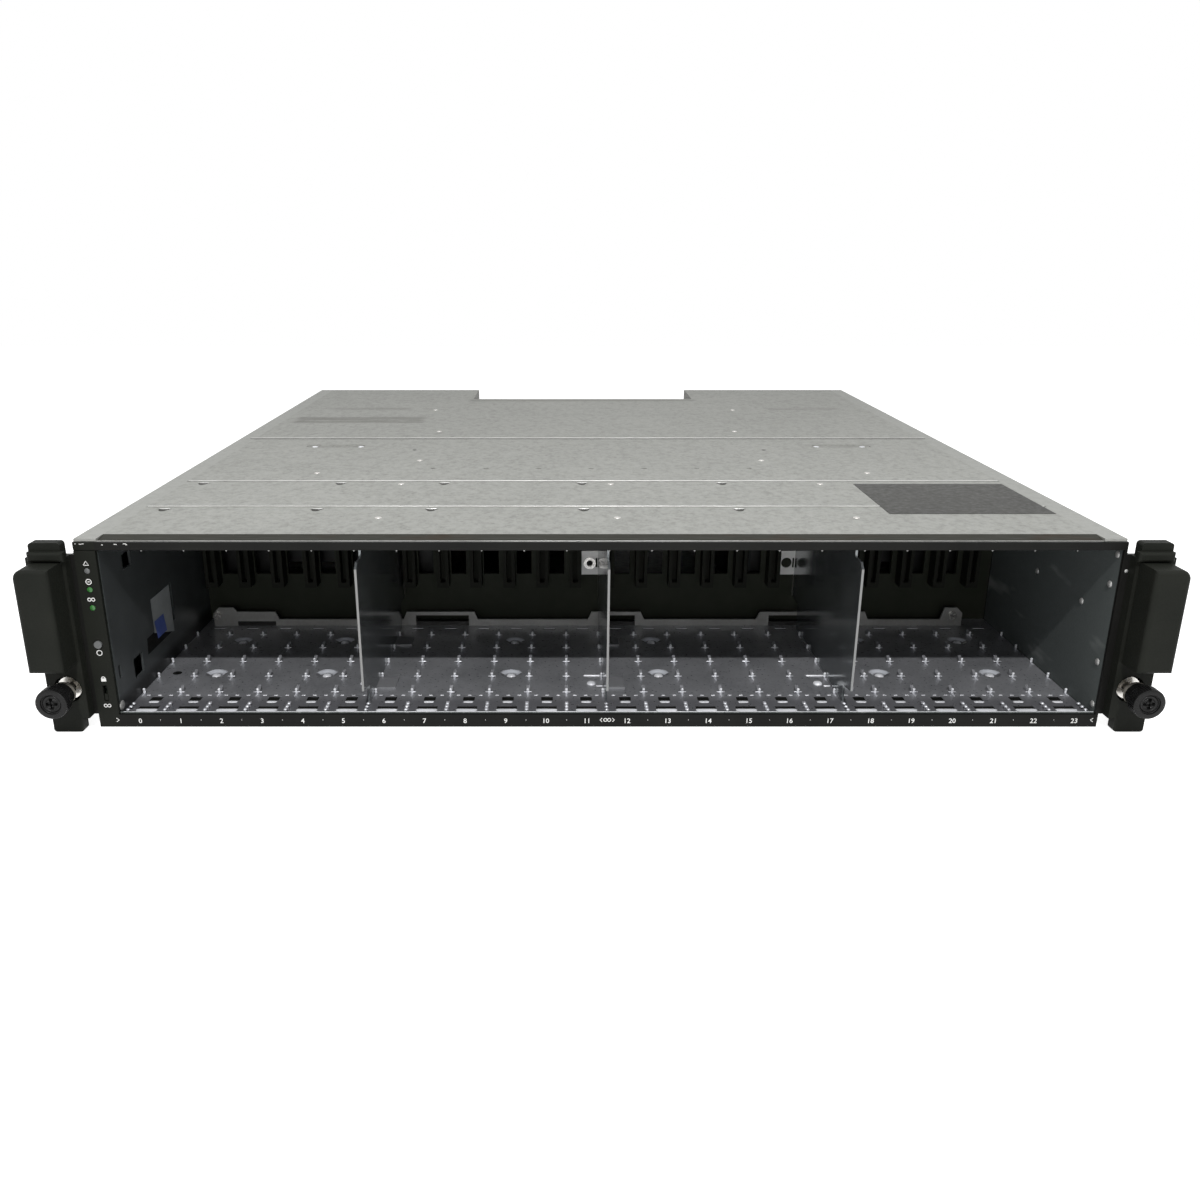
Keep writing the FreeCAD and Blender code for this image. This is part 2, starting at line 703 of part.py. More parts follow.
def ear_cover(name):
    """Black moulding: base plate with two tabs, hook bar, grip cap and the well of the screw."""
    side = sides[name]
    body = new_body(name + "_moulding")
    outside = half + s.ear_reach
    inside = outside - s.ear_plate_width
    low = s.ear_margin
    high = top - s.ear_margin
    lower_tab = outside - s.tab_width
    tab_high = outside - s.tab_step
    upper_tab = tab_high - s.tab_width
    plate = [
        (lower_tab, 0), (outside, 0), (outside, high), (tab_high, high), (tab_high, top),
        (upper_tab, top), (upper_tab, high), (inside, high), (inside, low), (lower_tab, low),
    ]
    pad(body, draw(body, "XZ", 0, [[(x * side, z) for x, z in plate]]), s.ear_plate, "-Y")
    bar = 2.1
    bar_reach = bar * 1.4
    bar_level = s.cap_high + 2.6
    hook = rect((half + 1.0, tab_high), around(bar_level, bar))
    pad(body, draw(body, "XZ", -s.ear_plate, [[(x * side, z) for x, z in hook]]), bar_reach, "-Y")
    cap = rect((outside - s.cap_width, outside), (s.cap_low, s.cap_high))
    pad(body, draw(body, "XZ", -s.ear_plate, [[(x * side, z) for x, z in cap]]), s.cap_depth, "-Y")
    well = [(screw_x * side, s.screw_height, s.collar_radius + 1.0)]
    pocket(body, draw(body, "XZ", 0, circles=well), s.ear_plate, "-Y")

    corners = [(lower_tab, 0), (outside, 0), (tab_high, top), (upper_tab, top)]
    bar_front = -(s.ear_plate + bar_reach)
    cap_front = -(s.ear_plate + s.cap_depth)

    def stands_at(edge, x, z):
        centre = edge.CenterOfMass
        return along_axis(edge, Vector(0, 1, 0)) and near(abs(centre.x), x) and near(centre.z, z)

    def shoulder(edge):
        return stands_at(edge, outside, s.cap_high)

    def tab_corner(edge):
        return any(stands_at(edge, x, z) for x, z in corners)

    def bar_rim(edge):
        return near(edge.CenterOfMass.y, bar_front)

    def cap_rim(edge):
        return near(edge.CenterOfMass.y, cap_front)

    round_edges(body, bar * 1.9, shoulder)
    round_edges(body, bar * 0.7, tab_corner)
    round_edges(body, bar * 0.6, bar_rim)
    round_edges(body, bar, cap_rim)
    keep(body, name + "_ear_cover")


def screw_ferrules():
    """Collars that guide the screws, at the bottom of the wells."""
    rings = []
    for name, side in sides.items():
        x = screw_x * side
        collar = rod(name + "_collar", s.collar_radius, x, (-s.collar_reach, 0), s.screw_height)
        sleeve = rod(name + "_sleeve", s.sleeve_radius, x, (0, s.ear_sheet), s.screw_height)
        length = (-s.collar_reach - 1, s.ear_sheet + 1)
        bore = rod(name + "_bore", s.thread_radius + 0.6, x, length, s.screw_height)
        rings.append(cut(name + "_ferrule", fuse(name + "_ferrule_blank", [collar, sleeve]), [bore]))
    keep(group("ferrules", rings), "screw_ferrules")


def retainer(name):
    """Push-on ring that keeps the screw from being drawn out of the ear."""
    x = screw_x * sides[name]
    back = s.ear_sheet + 0.3
    disc = rod(name + "_ring_disc", s.sleeve_radius, x, (back, back + s.ring_sheet), s.screw_height)
    bore = rod(name + "_ring_bore", s.neck_radius + 0.3, x, (back - 1, back + 2), s.screw_height)
    keep(cut(name + "_ring", disc, [bore]), name + "_retainer")


def thumbscrew(name):
    """Captive screw: a flat grip on a stem that sinks into the well when it is driven in."""
    x = screw_x * sides[name]
    face = -front_reach
    grip_back = face + s.grip_length
    thread = s.ear_sheet + s.ring_sheet + 0.6
    tip = thread + s.thread_length
    body = new_body(name + "_thumbscrew_body")
    radius = s.knob_radius
    profile = [
        (0, face + 0.8), (radius * 0.62, face + 0.8), (radius * 0.66, face), (radius - 0.8, face),
        (radius, face + 0.8), (radius, grip_back), (s.stem_radius, grip_back), (s.stem_radius, -stem_back),
        (s.neck_radius, -stem_back), (s.neck_radius, thread), (s.thread_radius, thread),
        (s.thread_radius, tip), (s.thread_radius - 0.7, tip + 0.7), (0, tip + 0.7),
    ]
    turned = body.newObject("PartDesign::Revolution", name + "_turning")
    turned.Profile = draw(body, "XY", 0, [profile])
    turned.ReferenceAxis = (datum(body, "Y_Axis"), [""])
    turned.Angle = 360
    recess = [(-0.8, 3.0), (-0.8, 0.8), (-3.0, 0.8), (-3.0, -0.8), (-0.8, -0.8), (-0.8, -3.0),
              (0.8, -3.0), (0.8, -0.8), (3.0, -0.8), (3.0, 0.8), (0.8, 0.8), (0.8, 3.0)]
    pocket(body, draw(body, "XZ", face + 0.8, [recess]), 2.0, "+Y")
    place(body, x, 0, s.screw_height)
    keep(body, name + "_thumbscrew")


# Control panel on the left of the bay.

panel_x = bay_left - s.panel_width / 2
LED_LEVELS = (73.0, 64.6, 56.4)
BUTTON_LEVEL = 39.5
SWITCH_LOW = 12.5
SWITCH_HIGH = 20.1
board_at = 5.6


def level(z):
    """A height on the panel, scaled with the chassis."""
    return top * (z / 86.8)


def control_panel():
    body = new_body("panel")
    outline = rect((-half, bay_left), (0, rail_top))
    slot = rect(around(panel_x, 1.0), (level(SWITCH_LOW), level(SWITCH_HIGH)))
    button_hole = (panel_x, level(BUTTON_LEVEL), s.button_radius + 0.3)
    holes = [(panel_x, level(z), 1.35) for z in LED_LEVELS] + [button_hole]
    pad(body, draw(body, "XZ", 0, [outline, slot], holes), s.trim, "+Y")
    seam = rect((-half, bay_left), (ceiling - 0.2, ceiling + 0.2))
    pocket(body, draw(body, "XZ", 0, [seam]), s.trim * 0.3, "+Y")
    posts = [rect(around(panel_x + 0.3, 2.6), (level(z), level(z) + 4)) for z in (28.0, 79.0)]
    pad(body, draw(body, "XZ", s.trim, posts), board_at - s.trim, "+Y")
    keep(body, "control_panel")


def control_board():
    card = block("card", around(panel_x + 0.3, 2.9), (board_at, board_at + 1.2), (level(8.0), level(84.0)))
    switch = block("switch_body", around(panel_x + 0.3, 2.6), (board_at - 1.9, board_at),
                   (level(SWITCH_LOW) - 3, level(SWITCH_HIGH) + 3))
    keep(fuse("panel_card", [card, switch]), "control_board")


def led_lenses():
    pipes = [rod("lens_%d" % i, 1.2, panel_x, (-0.3, board_at), level(z)) for i, z in enumerate(LED_LEVELS)]
    keep(group("lenses", pipes), "led_lenses")


def id_button():
    z = level(BUTTON_LEVEL)
    stem = rod("button_stem", s.button_radius, panel_x, (-0.6, board_at - 1.1), z)
    collar = rod("button_collar", s.button_radius + 0.8, panel_x, (s.trim + 0.3, s.trim + 1.1), z)
    keep(fuse("button", [stem, collar]), "id_button")


def mode_switch():
    low = level(SWITCH_LOW) + 0.4
    knob = block("switch_knob", around(panel_x, 0.7), (0.3, board_at - 2.2), (low, low + 3.0))
    keep(knob, "mode_switch")


def panel_cable():
    """Flat lead from the control board to the midplane, behind the bay wall."""
    back = board_at + 1.2
    z = (top * 0.33, top * 0.45)
    lead = block("lead", around(panel_x + 0.3, 0.5), (back, board_front), z)
    plug = block("plug", around(panel_x + 0.3, 2.4), (board_front * 0.44, board_front * 0.52),
                 (top * 0.28, top * 0.4))
    keep(fuse("panel_lead", [lead, plug]), "panel_cable")


# Power modules, drawn about the bottom middle of their rear face.

psu_width = inner - cage - s.wall - s.module_gap * 2
psu_height = under_flange - s.wall - s.module_lift - 0.5
psu_length = s.chassis_depth - SET_IN - module_front
psu_half = psu_width / 2
fan_box = psu_height - s.case_sheet * 2
fan_x = s.case_sheet - psu_half + fan_box / 2
fan_z = psu_height / 2
fan_bore = fan_box / 2 - 3.4
outlet_x = (fan_x + fan_box / 2 + psu_half) / 2 - 3.0
inlet_z = psu_height * 0.25
rocker_z = psu_height * 0.62
latch_z = psu_height - 9.0
LATCH_TRAVEL = 5.0


def put_power(obj, name):
    x = (inner + cage + s.wall) / 2 * sides[name]
    return place(obj, x, s.chassis_depth - SET_IN, s.wall + s.module_lift)


def psu_case(name):
    back = -s.face_sheet
    shell = block(name + "_psu_shell", (-psu_half, psu_half), (-psu_length, back), (0, psu_height))
    room = block(name + "_psu_room", (s.case_sheet - psu_half, psu_half - s.case_sheet),
                 (s.case_sheet - psu_length, back + 1), (s.case_sheet, psu_height - s.case_sheet))
    front_wall = (-psu_length - 1, s.case_sheet - psu_length + 1)
    port = block(name + "_psu_port", around(0, 26), front_wall, (12, 32))
    keep(put_power(cut(name + "_psu_box", shell, [room, port]), name), name + "_psu_case")


def hexagon(x, z, across):
    """Corner points of a hexagon standing on a corner."""
    tall = across * 0.57735
    flat = across / 2
    return [(x, z + tall), (x - flat, z + tall / 2), (x - flat, z - tall / 2), (x, z - tall),
            (x + flat, z - tall / 2), (x + flat, z + tall / 2)]


def psu_faceplate(name):
    body = new_body(name + "_psu_face")
    outline = rect((-psu_half, psu_half), (0, psu_height))
    inlet = rect(around(outlet_x, 13.7), around(inlet_z, 10.2))
    rocker = rect(around(outlet_x, 6.6), around(rocker_z, 10.0))
    latch = rect((outlet_x - 9, outlet_x + 9), around(latch_z, 3.2))
    pad(body, draw(body, "XZ", 0, [outline, inlet, rocker, latch]), s.face_sheet, "+Y")
    cell = fan_box / 7
    across = cell * 0.86
    left = fan_x - cell * 2.75
    low = fan_z - cell * 0.866 * 2.5
    pair = [hexagon(left, low, across), hexagon(left + cell / 2, low + cell * 0.866, across)]
    vents = pocket(body, draw(body, "XZ", 0, pair), s.face_sheet, "+Y")
    repeat(body, vents, cell, 6, cell * 1.732, 3, second_axis="Z")
    x = (inner + cage + s.wall) / 2 * sides[name]
    place(body, x, s.chassis_depth - SET_IN - s.face_sheet, s.wall + s.module_lift)
    keep(body, name + "_psu_faceplate")


def psu_fan_frame(name):
    rear = -s.face_sheet
    front = rear - s.fan_depth
    frame = block(name + "_frame_block", around(fan_x, fan_box / 2), (front, rear),
                  (s.case_sheet, psu_height - s.case_sheet))
    bore = rod(name + "_frame_bore", fan_bore, fan_x, (front - 1, rear + 1), fan_z)
    ring = cut(name + "_frame_ring", frame, [bore])
    parts = [ring, rod(name + "_motor_mount", 12, fan_x, (front, front + 3), fan_z)]
    strut = (front, front + 2.4)
    parts.append(block(name + "_strut_across", around(fan_x, fan_bore + 1), strut, around(fan_z, 2)))
    parts.append(block(name + "_strut_up", around(fan_x, 2), strut, around(fan_z, fan_bore + 1)))
    keep(put_power(fuse(name + "_frame", parts), name), name + "_psu_fan_frame")


BLADES = 7


def psu_fan(name):
    rear = -s.face_sheet
    front = rear - s.fan_depth
    hub_radius = 13.0
    hub_span = (front + 3.6, rear - 5)
    parts = [rod(name + "_hub", hub_radius, fan_x, hub_span, fan_z)]
    chord = 19.0
    centre = Vector(fan_x.value, (hub_span[0].value + hub_span[1].value) / 2, fan_z.value)
    for number in range(BLADES):
        blade = doc.addObject("Part::Box", "%s_blade_%d" % (name, number))
        bind(blade, "Length", fan_bore - 13.6)
        blade.Width = 1.6
        blade.Height = chord
        turn = Rotation(Vector(0, 1, 0), 360.0 * number / BLADES).multiply(Rotation(Vector(1, 0, 0), 36))
        offset = turn.multVec(Vector(hub_radius - 1.5, -0.8, -chord / 2))
        blade.Placement = Placement(centre + offset, turn)
        parts.append(blade)
    keep(put_power(fuse(name + "_rotor", parts), name), name + "_psu_fan")


def psu_inlet(name):
    rim = block(name + "_inlet_rim", around(outlet_x, 15.4), (0, 1.8), around(inlet_z, 12.4))
    shell = block(name + "_inlet_shell", around(outlet_x, 13.5), (-19, 0), around(inlet_z, 10))
    mouth = block(name + "_inlet_mouth", around(outlet_x, 11.2), (-16.5, 2), around(inlet_z, 7.2))
    socket = cut(name + "_inlet_socket", fuse(name + "_inlet_blank", [rim, shell]), [mouth])
    pins = []
    for number, (dx, dz) in enumerate(((0, 2.0), (-7.0, -2.0), (7.0, -2.0))):
        wide = around(outlet_x + dx, 1.0)
        pins.append(block("%s_pin_%d" % (name, number), wide, (-17, -5), around(inlet_z + dz, 2.0)))
    keep(put_power(fuse(name + "_inlet_body", [socket] + pins), name), name + "_psu_inlet")


def psu_switch(name):
    """Rocker, resting with its lower half pressed in."""
    body = new_body(name + "_rocker")
    reach = 9.2
    profile = [(2.2, -reach), (1.0, 0), (2.2, reach), (-1.5, reach), (-6.0, 2.5), (-6.0, -2.5),
               (-1.5, -reach)]
    pad(body, draw(body, "YZ", -5.9, [profile]), 11.8, "+X")
    body.Placement = Placement(Vector(), Rotation(Vector(1, 0, 0), -7))
    x = (inner + cage + s.wall) / 2 * sides[name] + outlet_x
    place(body, x, s.chassis_depth - SET_IN - 2.0, s.wall + s.module_lift + rocker_z)
    keep(body, name + "_psu_switch")


def psu_handle(name):
    """Loop handle upright on the outer side of the face."""
    body = new_body(name + "_handle")
    low = psu_height * 0.14
    high = psu_height * 0.86
    reach = s.handle_reach
    bar = s.handle_bar
    corner = 6.0
    outline = [(0, low), (reach - corner, low), (reach, low + corner), (reach, high - corner),
               (reach - corner, high), (0, high), (0, high - bar), (reach - corner - 1.5, high - bar),
               (reach - bar, high - corner - bar + 1.5), (reach - bar, low + corner + bar - 1.5),
               (reach - corner - 1.5, low + bar), (0, low + bar)]
    right = psu_half - 2.0
    pad(body, draw(body, "YZ", right - bar, [outline]), bar, "+X")
    put_power(body, name)
    keep(body, name + "_psu_handle")


def psu_latch(name):
    tab = block(name + "_tab", (outlet_x - 8.2, outlet_x + 2.8), (-4.6, 8), around(latch_z, 2.6))
    slide = block(name + "_slide", (outlet_x - 12, outlet_x + 8), (-5.6, -2.2), around(latch_z, 5.0))
    keep(put_power(fuse(name + "_latch_body", [tab, slide]), name), name + "_psu_latch")


# Controller modules, drawn about the bottom middle of their rear face.

emm_half = cage - s.module_gap
emm_height = under_flange - (top / 2 + s.wall / 2) - s.module_lift - 0.5
emm_length = recess_front - SET_IN - module_front
port_base = s.case_sheet + 5.0
PORT_SPOTS = (14.0, 48.0)
lever_pivot = (14.0, 5.5)
lever_z = (12.0, 27.0)


def put_controller(obj, name):
    base = s.wall if name == "lower" else top / 2 + s.wall / 2
    return place(obj, 0, recess_front - SET_IN, base + s.module_lift)


def pivot_x():
    return lever_pivot[0] - 6.0 - emm_half


def controller_case(name):
    shell = block(name + "_case_shell", (-emm_half, emm_half), (-emm_length, 0), (0, emm_height))
    room = block(name + "_case_room", (s.case_sheet - emm_half, emm_half - s.case_sheet),
                 (-emm_length - 1, -s.face_sheet), (s.case_sheet, emm_height - s.case_sheet))
    tools = [room]
    for number, x in enumerate(PORT_SPOTS):
        tools.append(block("%s_port_hole_%d" % (name, number), around(emm_half * (x / 87.4), 10.5),
                           (-3, 1), (port_base - 0.3, port_base + 10.3)))
    for number in range(12):
        x = emm_half * (0.03 + 0.078 * number)
        tools.append(block("%s_vent_%d" % (name, number), (x, x + 3.4), (-3, 1),
                           (emm_height * 0.62, emm_height * 0.87)))
    parts = [cut(name + "_case_cut", shell, tools)]
    for number, (share, y) in enumerate(((-0.8, -30), (0.8, -30), (-0.8, -200), (0.8, -200))):
        parts.append(block("%s_post_%d" % (name, number), around(emm_half * share, 3),
                           around(emm_length * (y / 273.5), 3), (s.case_sheet, port_base - 1.6)))
    x = pivot_x()
    lug_spans = ((lever_z[0] - 2.3, lever_z[0] - 0.3), (lever_z[1] + 0.3, lever_z[1] + 2.3))
    for number, span in enumerate(lug_spans):
        parts.append(block("%s_lug_%d" % (name, number), around(x, 3.6), (-0.5, lever_pivot[1] + 3.0), span))
    parts.append(rod(name + "_pivot_pin", 1.5, x, lever_pivot[1], (lever_z[0] - 2.3, lever_z[1] + 2.3)))
    keep(put_controller(fuse(name + "_case", parts), name), name + "_controller_case")


def controller_board(name):
    card = block(name + "_controller_card", (5 - emm_half, emm_half - 5), (8 - emm_length, -4),
                 (port_base - 1.6, port_base))
    keep(put_controller(group(name + "_controller_cards", [card]), name), name + "_controller_board")


def controller_ports(name):
    cages = []
    for number, spot in enumerate(PORT_SPOTS):
        x = emm_half * (spot / 87.4)
        low = port_base
        shell = block("%s_cage_%d" % (name, number), around(x, 10.2), (-26, 1.2), (low, low + 10))
        mouth = block("%s_cage_mouth_%d" % (name, number), around(x, 9.0), (-15, 2), (low + 1.1, low + 8.9))
        tongue = block("%s_tongue_%d" % (name, number), around(x, 7.0), (-16, -7), (low + 4.4, low + 5.6))
        hollow = cut("%s_cage_shell_%d" % (name, number), shell, [mouth])
        cages.append(fuse("%s_port_%d" % (name, number), [hollow, tongue]))
    keep(put_controller(group(name + "_cages", cages), name), name + "_controller_ports")


def controller_lever(name):
    """Release lever lying along the face, hinged at its outer end."""
    x = pivot_x()
    y = lever_pivot[1]
    eye = rod(name + "_lever_eye", 3.6, x, y, lever_z)
    arm = block(name + "_lever_arm", (x, x + 52), (y - 2.2, y + 2.2), lever_z)
    grip = block(name + "_lever_grip", (x + 48, x + 52), (y - 2.2, y + 11), lever_z)
    bore = rod(name + "_lever_bore", 1.6, x, y, (lever_z[0] - 1, lever_z[1] + 1))
    lever = cut(name + "_lever", fuse(name + "_lever_blank", [eye, arm, grip]), [bore])
    keep(put_controller(lever, name), name + "_controller_lever")


chassis_base()
front_cover()
rear_cover()
lower_guide_plate()
upper_guide_plate()
for divider_name in dividers:
    divider(divider_name)
left_bay_wall()
front_trim()
midplane_board()
midplane_connectors()
midplane_bracket()
midplane_screws()
module_shelf()
top_rivets()
info_label()
screw_ferrules()
for side_name in sides:
    partition(side_name)
    ear(side_name)
    ear_cover(side_name)
    retainer(side_name)
    thumbscrew(side_name)
control_panel()
control_board()
led_lenses()
id_button()
mode_switch()
panel_cable()
for side_name in sides:
    psu_case(side_name)
    psu_faceplate(side_name)
    psu_fan_frame(side_name)
    psu_fan(side_name)
    psu_inlet(side_name)
    psu_switch(side_name)
    psu_handle(side_name)
    psu_latch(side_name)
for level_name in ("lower", "upper"):
    controller_case(level_name)
    controller_board(level_name)
    controller_ports(level_name)
    controller_lever(level_name)

doc.recompute()
for item in doc.Objects:
    if "Invalid" in item.State or "Error" in item.State:
        raise RuntimeError("%s did not build" % item.Label)

os.makedirs("parts", exist_ok=True)
for piece in pieces:
    if piece.Shape.isNull() or not piece.Shape.isValid():
        raise RuntimeError("%s has no sound shape" % piece.Label)
    piece.Shape.exportStep("parts/%s.step" % piece.Label)
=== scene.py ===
import math

import bmesh
import bpy
import numpy as np
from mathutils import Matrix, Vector


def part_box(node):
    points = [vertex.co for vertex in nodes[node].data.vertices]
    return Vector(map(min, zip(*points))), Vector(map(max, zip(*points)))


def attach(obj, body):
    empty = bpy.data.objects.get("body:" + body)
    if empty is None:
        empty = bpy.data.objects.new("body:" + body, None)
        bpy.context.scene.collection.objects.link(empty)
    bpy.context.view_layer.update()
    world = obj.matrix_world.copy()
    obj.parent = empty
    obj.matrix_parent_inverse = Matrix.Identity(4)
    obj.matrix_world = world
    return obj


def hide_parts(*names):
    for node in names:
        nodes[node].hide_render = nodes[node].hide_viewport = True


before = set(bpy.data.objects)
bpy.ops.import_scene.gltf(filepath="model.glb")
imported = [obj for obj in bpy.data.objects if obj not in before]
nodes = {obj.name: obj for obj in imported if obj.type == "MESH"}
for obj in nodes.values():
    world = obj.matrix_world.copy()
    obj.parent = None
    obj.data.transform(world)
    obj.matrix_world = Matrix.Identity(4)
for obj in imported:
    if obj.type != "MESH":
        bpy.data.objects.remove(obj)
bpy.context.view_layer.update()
mm = 0.001
print("frame loaded:", len(nodes), "nodes")

# places, in millimetres from the front face of the body

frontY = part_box("slot_strip")[0].y


def inFrame(points):  # millimetres from the front face, as metres in the shared frame
    return np.asarray(points, float) * mm + np.array((0.0, frontY, 0.0))


def rowAt(distance):  # millimetres behind the front face, as a place along y in the shared frame
    return frontY + distance * mm


def boxOf(node):  # low and high corner of a CAD piece, in millimetres from the front face
    shift = np.array((0.0, frontY, 0.0))
    return tuple((np.array(corner) - shift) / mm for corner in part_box(node))


guideLow, guideHigh = boxOf("lower_guide_plate")
stripLow, stripHigh = boxOf("slot_strip")
panelLow, panelHigh = boxOf("control_panel")
coverHigh = boxOf("front_cover")[1]
seamRow = boxOf("rear_cover")[0][1]
dividerRow = boxOf("left_divider")[0][1]
bayLeft, bayRight = stripLow[0], stripHigh[0]
bayFloor = 4.6  # top of the lower guide plate, under its lances
bayCeiling = 82.2  # underside of the upper guide plate
topFace = coverHigh[2]
boardRow = 130.0  # front of the midplane board
slotCount = 24
guideGap = 0.3  # from the guide plate to the right wall
slotPitch = (guideHigh[0] + guideGap - guideLow[0]) / slotCount
dividerSlots = (6, 12, 18)
plainEdges = [n for n in range(1, slotCount) if n not in dividerSlots]
lanceRows = (26.0, 45.0, 64.0, 83.0, 102.0)
dimpleRows = (50.7, 95.6)
pressedLines = (59.1, 115.8)
marginRow = 9.3  # rear of the sloped margin of the top
hemHalf = 213.5  # sloped margin and pressed lines stop here


def slotEdge(number):
    return bayLeft + slotPitch * np.asarray(number, float)


def grid3(xs, ys, z):  # every x with every y at one height
    x, y = np.meshgrid(np.asarray(xs, float), np.asarray(ys, float), indexing="ij")
    return np.stack((x.ravel(), y.ravel(), np.full(x.size, float(z))), axis=1)


# node trees


def addNode(tree, kind, inputs=None, **settings):  # a node with its inputs linked or set
    item = tree.nodes.new(kind)
    for key, value in settings.items():
        setattr(item, key, value)
    for key, value in (inputs or {}).items():
        if isinstance(value, bpy.types.NodeSocket):
            tree.links.new(value, item.inputs[key])
        else:
            item.inputs[key].default_value = value
    return item


def combine(tree, operation, first, second):
    return addNode(tree, "ShaderNodeMath", {0: first, 1: second}, operation=operation).outputs[0]


def chain(tree, operation, masks):
    made = masks[0]
    for mask in masks[1:]:
        made = combine(tree, operation, made, mask)
    return made


def allOf(tree, *masks):
    return chain(tree, "MULTIPLY", masks)


def anyOf(tree, *masks):
    return chain(tree, "MAXIMUM", masks)


def below(tree, value, limit):
    return combine(tree, "LESS_THAN", value, limit)


def above(tree, value, limit):
    return combine(tree, "GREATER_THAN", value, limit)


def spread(tree, value, low, high, outLow=0.0, outHigh=1.0):  # low to high becomes outLow to outHigh, clamped
    ends = {"From Min": low, "From Max": high, "To Min": outLow, "To Max": outHigh}
    return addNode(tree, "ShaderNodeMapRange", {"Value": value, **ends}, clamp=True).outputs[0]


def seenDirectly(tree):  # 1 for rays from the camera, mirrors and glass, else 0
    path = addNode(tree, "ShaderNodeLightPath").outputs
    return anyOf(tree, path["Is Camera Ray"], path["Is Glossy Ray"], path["Is Transmission Ray"])


# camera, lamps and floor

view = dict(place=(-15.7, -423.7, 204.1), tilt=71.22, lens=31.25, sensor=36.0, shiftX=0.0306, clip=0.01)


def makeCamera():
    data = bpy.data.cameras.new("photo_camera")
    data.sensor_width = view["sensor"]
    data.lens = view["lens"]
    data.shift_x = view["shiftX"]
    data.clip_start = view["clip"]
    camera = bpy.data.objects.new("photo_camera", data)
    camera.location = inFrame(view["place"])
    camera.rotation_euler = (math.radians(view["tilt"]), 0, 0)
    bpy.context.scene.collection.objects.link(camera)
    bpy.context.scene.camera = camera


light = dict(
    lamps=(  # name, place, aim, size in metres, watts
        ("key_lamp", (0, -1010, 1180), (0, 40, 60), 0.03, 15.0),
        ("fill_lamp", (0, -420, 1650), (0, 120, 0), 1.4, 11.5),
        ("front_lamp", (-60, -950, 250), (0, 100, 40), 0.25, 1.0),
    ),
    ambient=0.22, backdrop=1.0, floorGlow=0.86, floorColour=0.8, floorSize=3.2,
)


def addLamp(name, place, aim, size, watts):
    data = bpy.data.lights.new(name, "AREA")
    data.shape = "DISK"
    data.size = size
    data.energy = watts
    lamp = bpy.data.objects.new(name, data)
    start, end = Vector(inFrame(place)), Vector(inFrame(aim))
    lamp.location = start
    lamp.rotation_euler = (end - start).to_track_quat("-Z", "Y").to_euler()
    bpy.context.scene.collection.objects.link(lamp)


def makeWorld():  # soft light on the object, white where the backdrop itself is seen
    world = bpy.data.worlds.new("studio")
    world.use_nodes = True
    tree = world.node_tree
    tree.nodes.clear()
    strength = spread(tree, seenDirectly(tree), 0.0, 1.0, light["ambient"], light["backdrop"])
    glow = addNode(tree, "ShaderNodeBackground", {"Color": (1, 1, 1, 1), "Strength": strength})
    out = addNode(tree, "ShaderNodeOutputWorld")
    tree.links.new(glow.outputs[0], out.inputs["Surface"])
    bpy.context.scene.world = world


def makeFloor():  # matt paper that glows only where it is seen, so that it keeps the shadow
    half = light["floorSize"] / 2
    mesh = bpy.data.meshes.new("studio_floor")
    corners = [(-half, -half, 0), (half, -half, 0), (half, half, 0), (-half, half, 0)]
    mesh.from_pydata(corners, [], [(0, 1, 2, 3)])
    floor = bpy.data.objects.new("studio_floor", mesh)
    bpy.context.scene.collection.objects.link(floor)
    paper = bpy.data.materials.new("floorPaper")
    paper.use_nodes = True
    tree = paper.node_tree
    tree.nodes.clear()
    grey = light["floorColour"]
    matt = addNode(tree, "ShaderNodeBsdfDiffuse", {"Color": (grey, grey, grey, 1)})
    lift = spread(tree, seenDirectly(tree), 0.0, 1.0, 0.0, light["floorGlow"])
    glow = addNode(tree, "ShaderNodeEmission", {"Color": (1, 1, 1, 1), "Strength": lift})
    both = addNode(tree, "ShaderNodeAddShader", {0: matt.outputs[0], 1: glow.outputs[0]})
    out = addNode(tree, "ShaderNodeOutputMaterial")
    tree.links.new(both.outputs[0], out.inputs["Surface"])
    mesh.materials.append(paper)


bpy.context.scene.view_settings.view_transform = "Standard"
makeCamera()
makeWorld()
makeFloor()
for lamp in light["lamps"]:
    addLamp(*lamp)
print("camera and studio set")

# finishes: every one is built from noise, grain, rubbed marks and painted light and shade on object
# coordinates

midNoise = (0.3, 0.7)  # the stretch of a noise's values that shows
fineRelief = 0.00004  # depth of a plain grain, in metres
mixSockets = dict(amount=0, first=6, second=7, result=2)  # where the Mix node keeps its colours


def startFinish(name, metallic=0.0, **sockets):
    material = bpy.data.materials.new(name)
    material.use_nodes = True
    tree = material.node_tree
    shader = tree.nodes["Principled BSDF"]
    shader.inputs["Metallic"].default_value = metallic
    for key, value in sockets.items():
        shader.inputs[key.replace("_", " ")].default_value = value
    place = addNode(tree, "ShaderNodeTexCoord").outputs["Object"]
    return material, tree, shader, place


def coordinates(tree, place):
    return addNode(tree, "ShaderNodeSeparateXYZ", {0: place}).outputs


def noise(tree, place, scale, detail=3.0, rough=0.6, stretch=None):
    if stretch:
        place = addNode(tree, "ShaderNodeMapping", {"Vector": place, "Scale": stretch}).outputs[0]
    settings = {"Vector": place, "Scale": scale, "Detail": detail, "Roughness": rough}
    return addNode(tree, "ShaderNodeTexNoise", settings).outputs["Fac"]


def opaque(colour):  # a written colour gets its alpha, a linked one stays
    return colour if isinstance(colour, bpy.types.NodeSocket) else (*colour, 1.0)


def blendColour(tree, amount, first, second):  # from the first colour to the second by an amount
    colours = {mixSockets["first"]: opaque(first), mixSockets["second"]: opaque(second)}
    made = addNode(tree, "ShaderNodeMix", {mixSockets["amount"]: amount, **colours}, data_type="RGBA")
    return made.outputs[mixSockets["result"]]


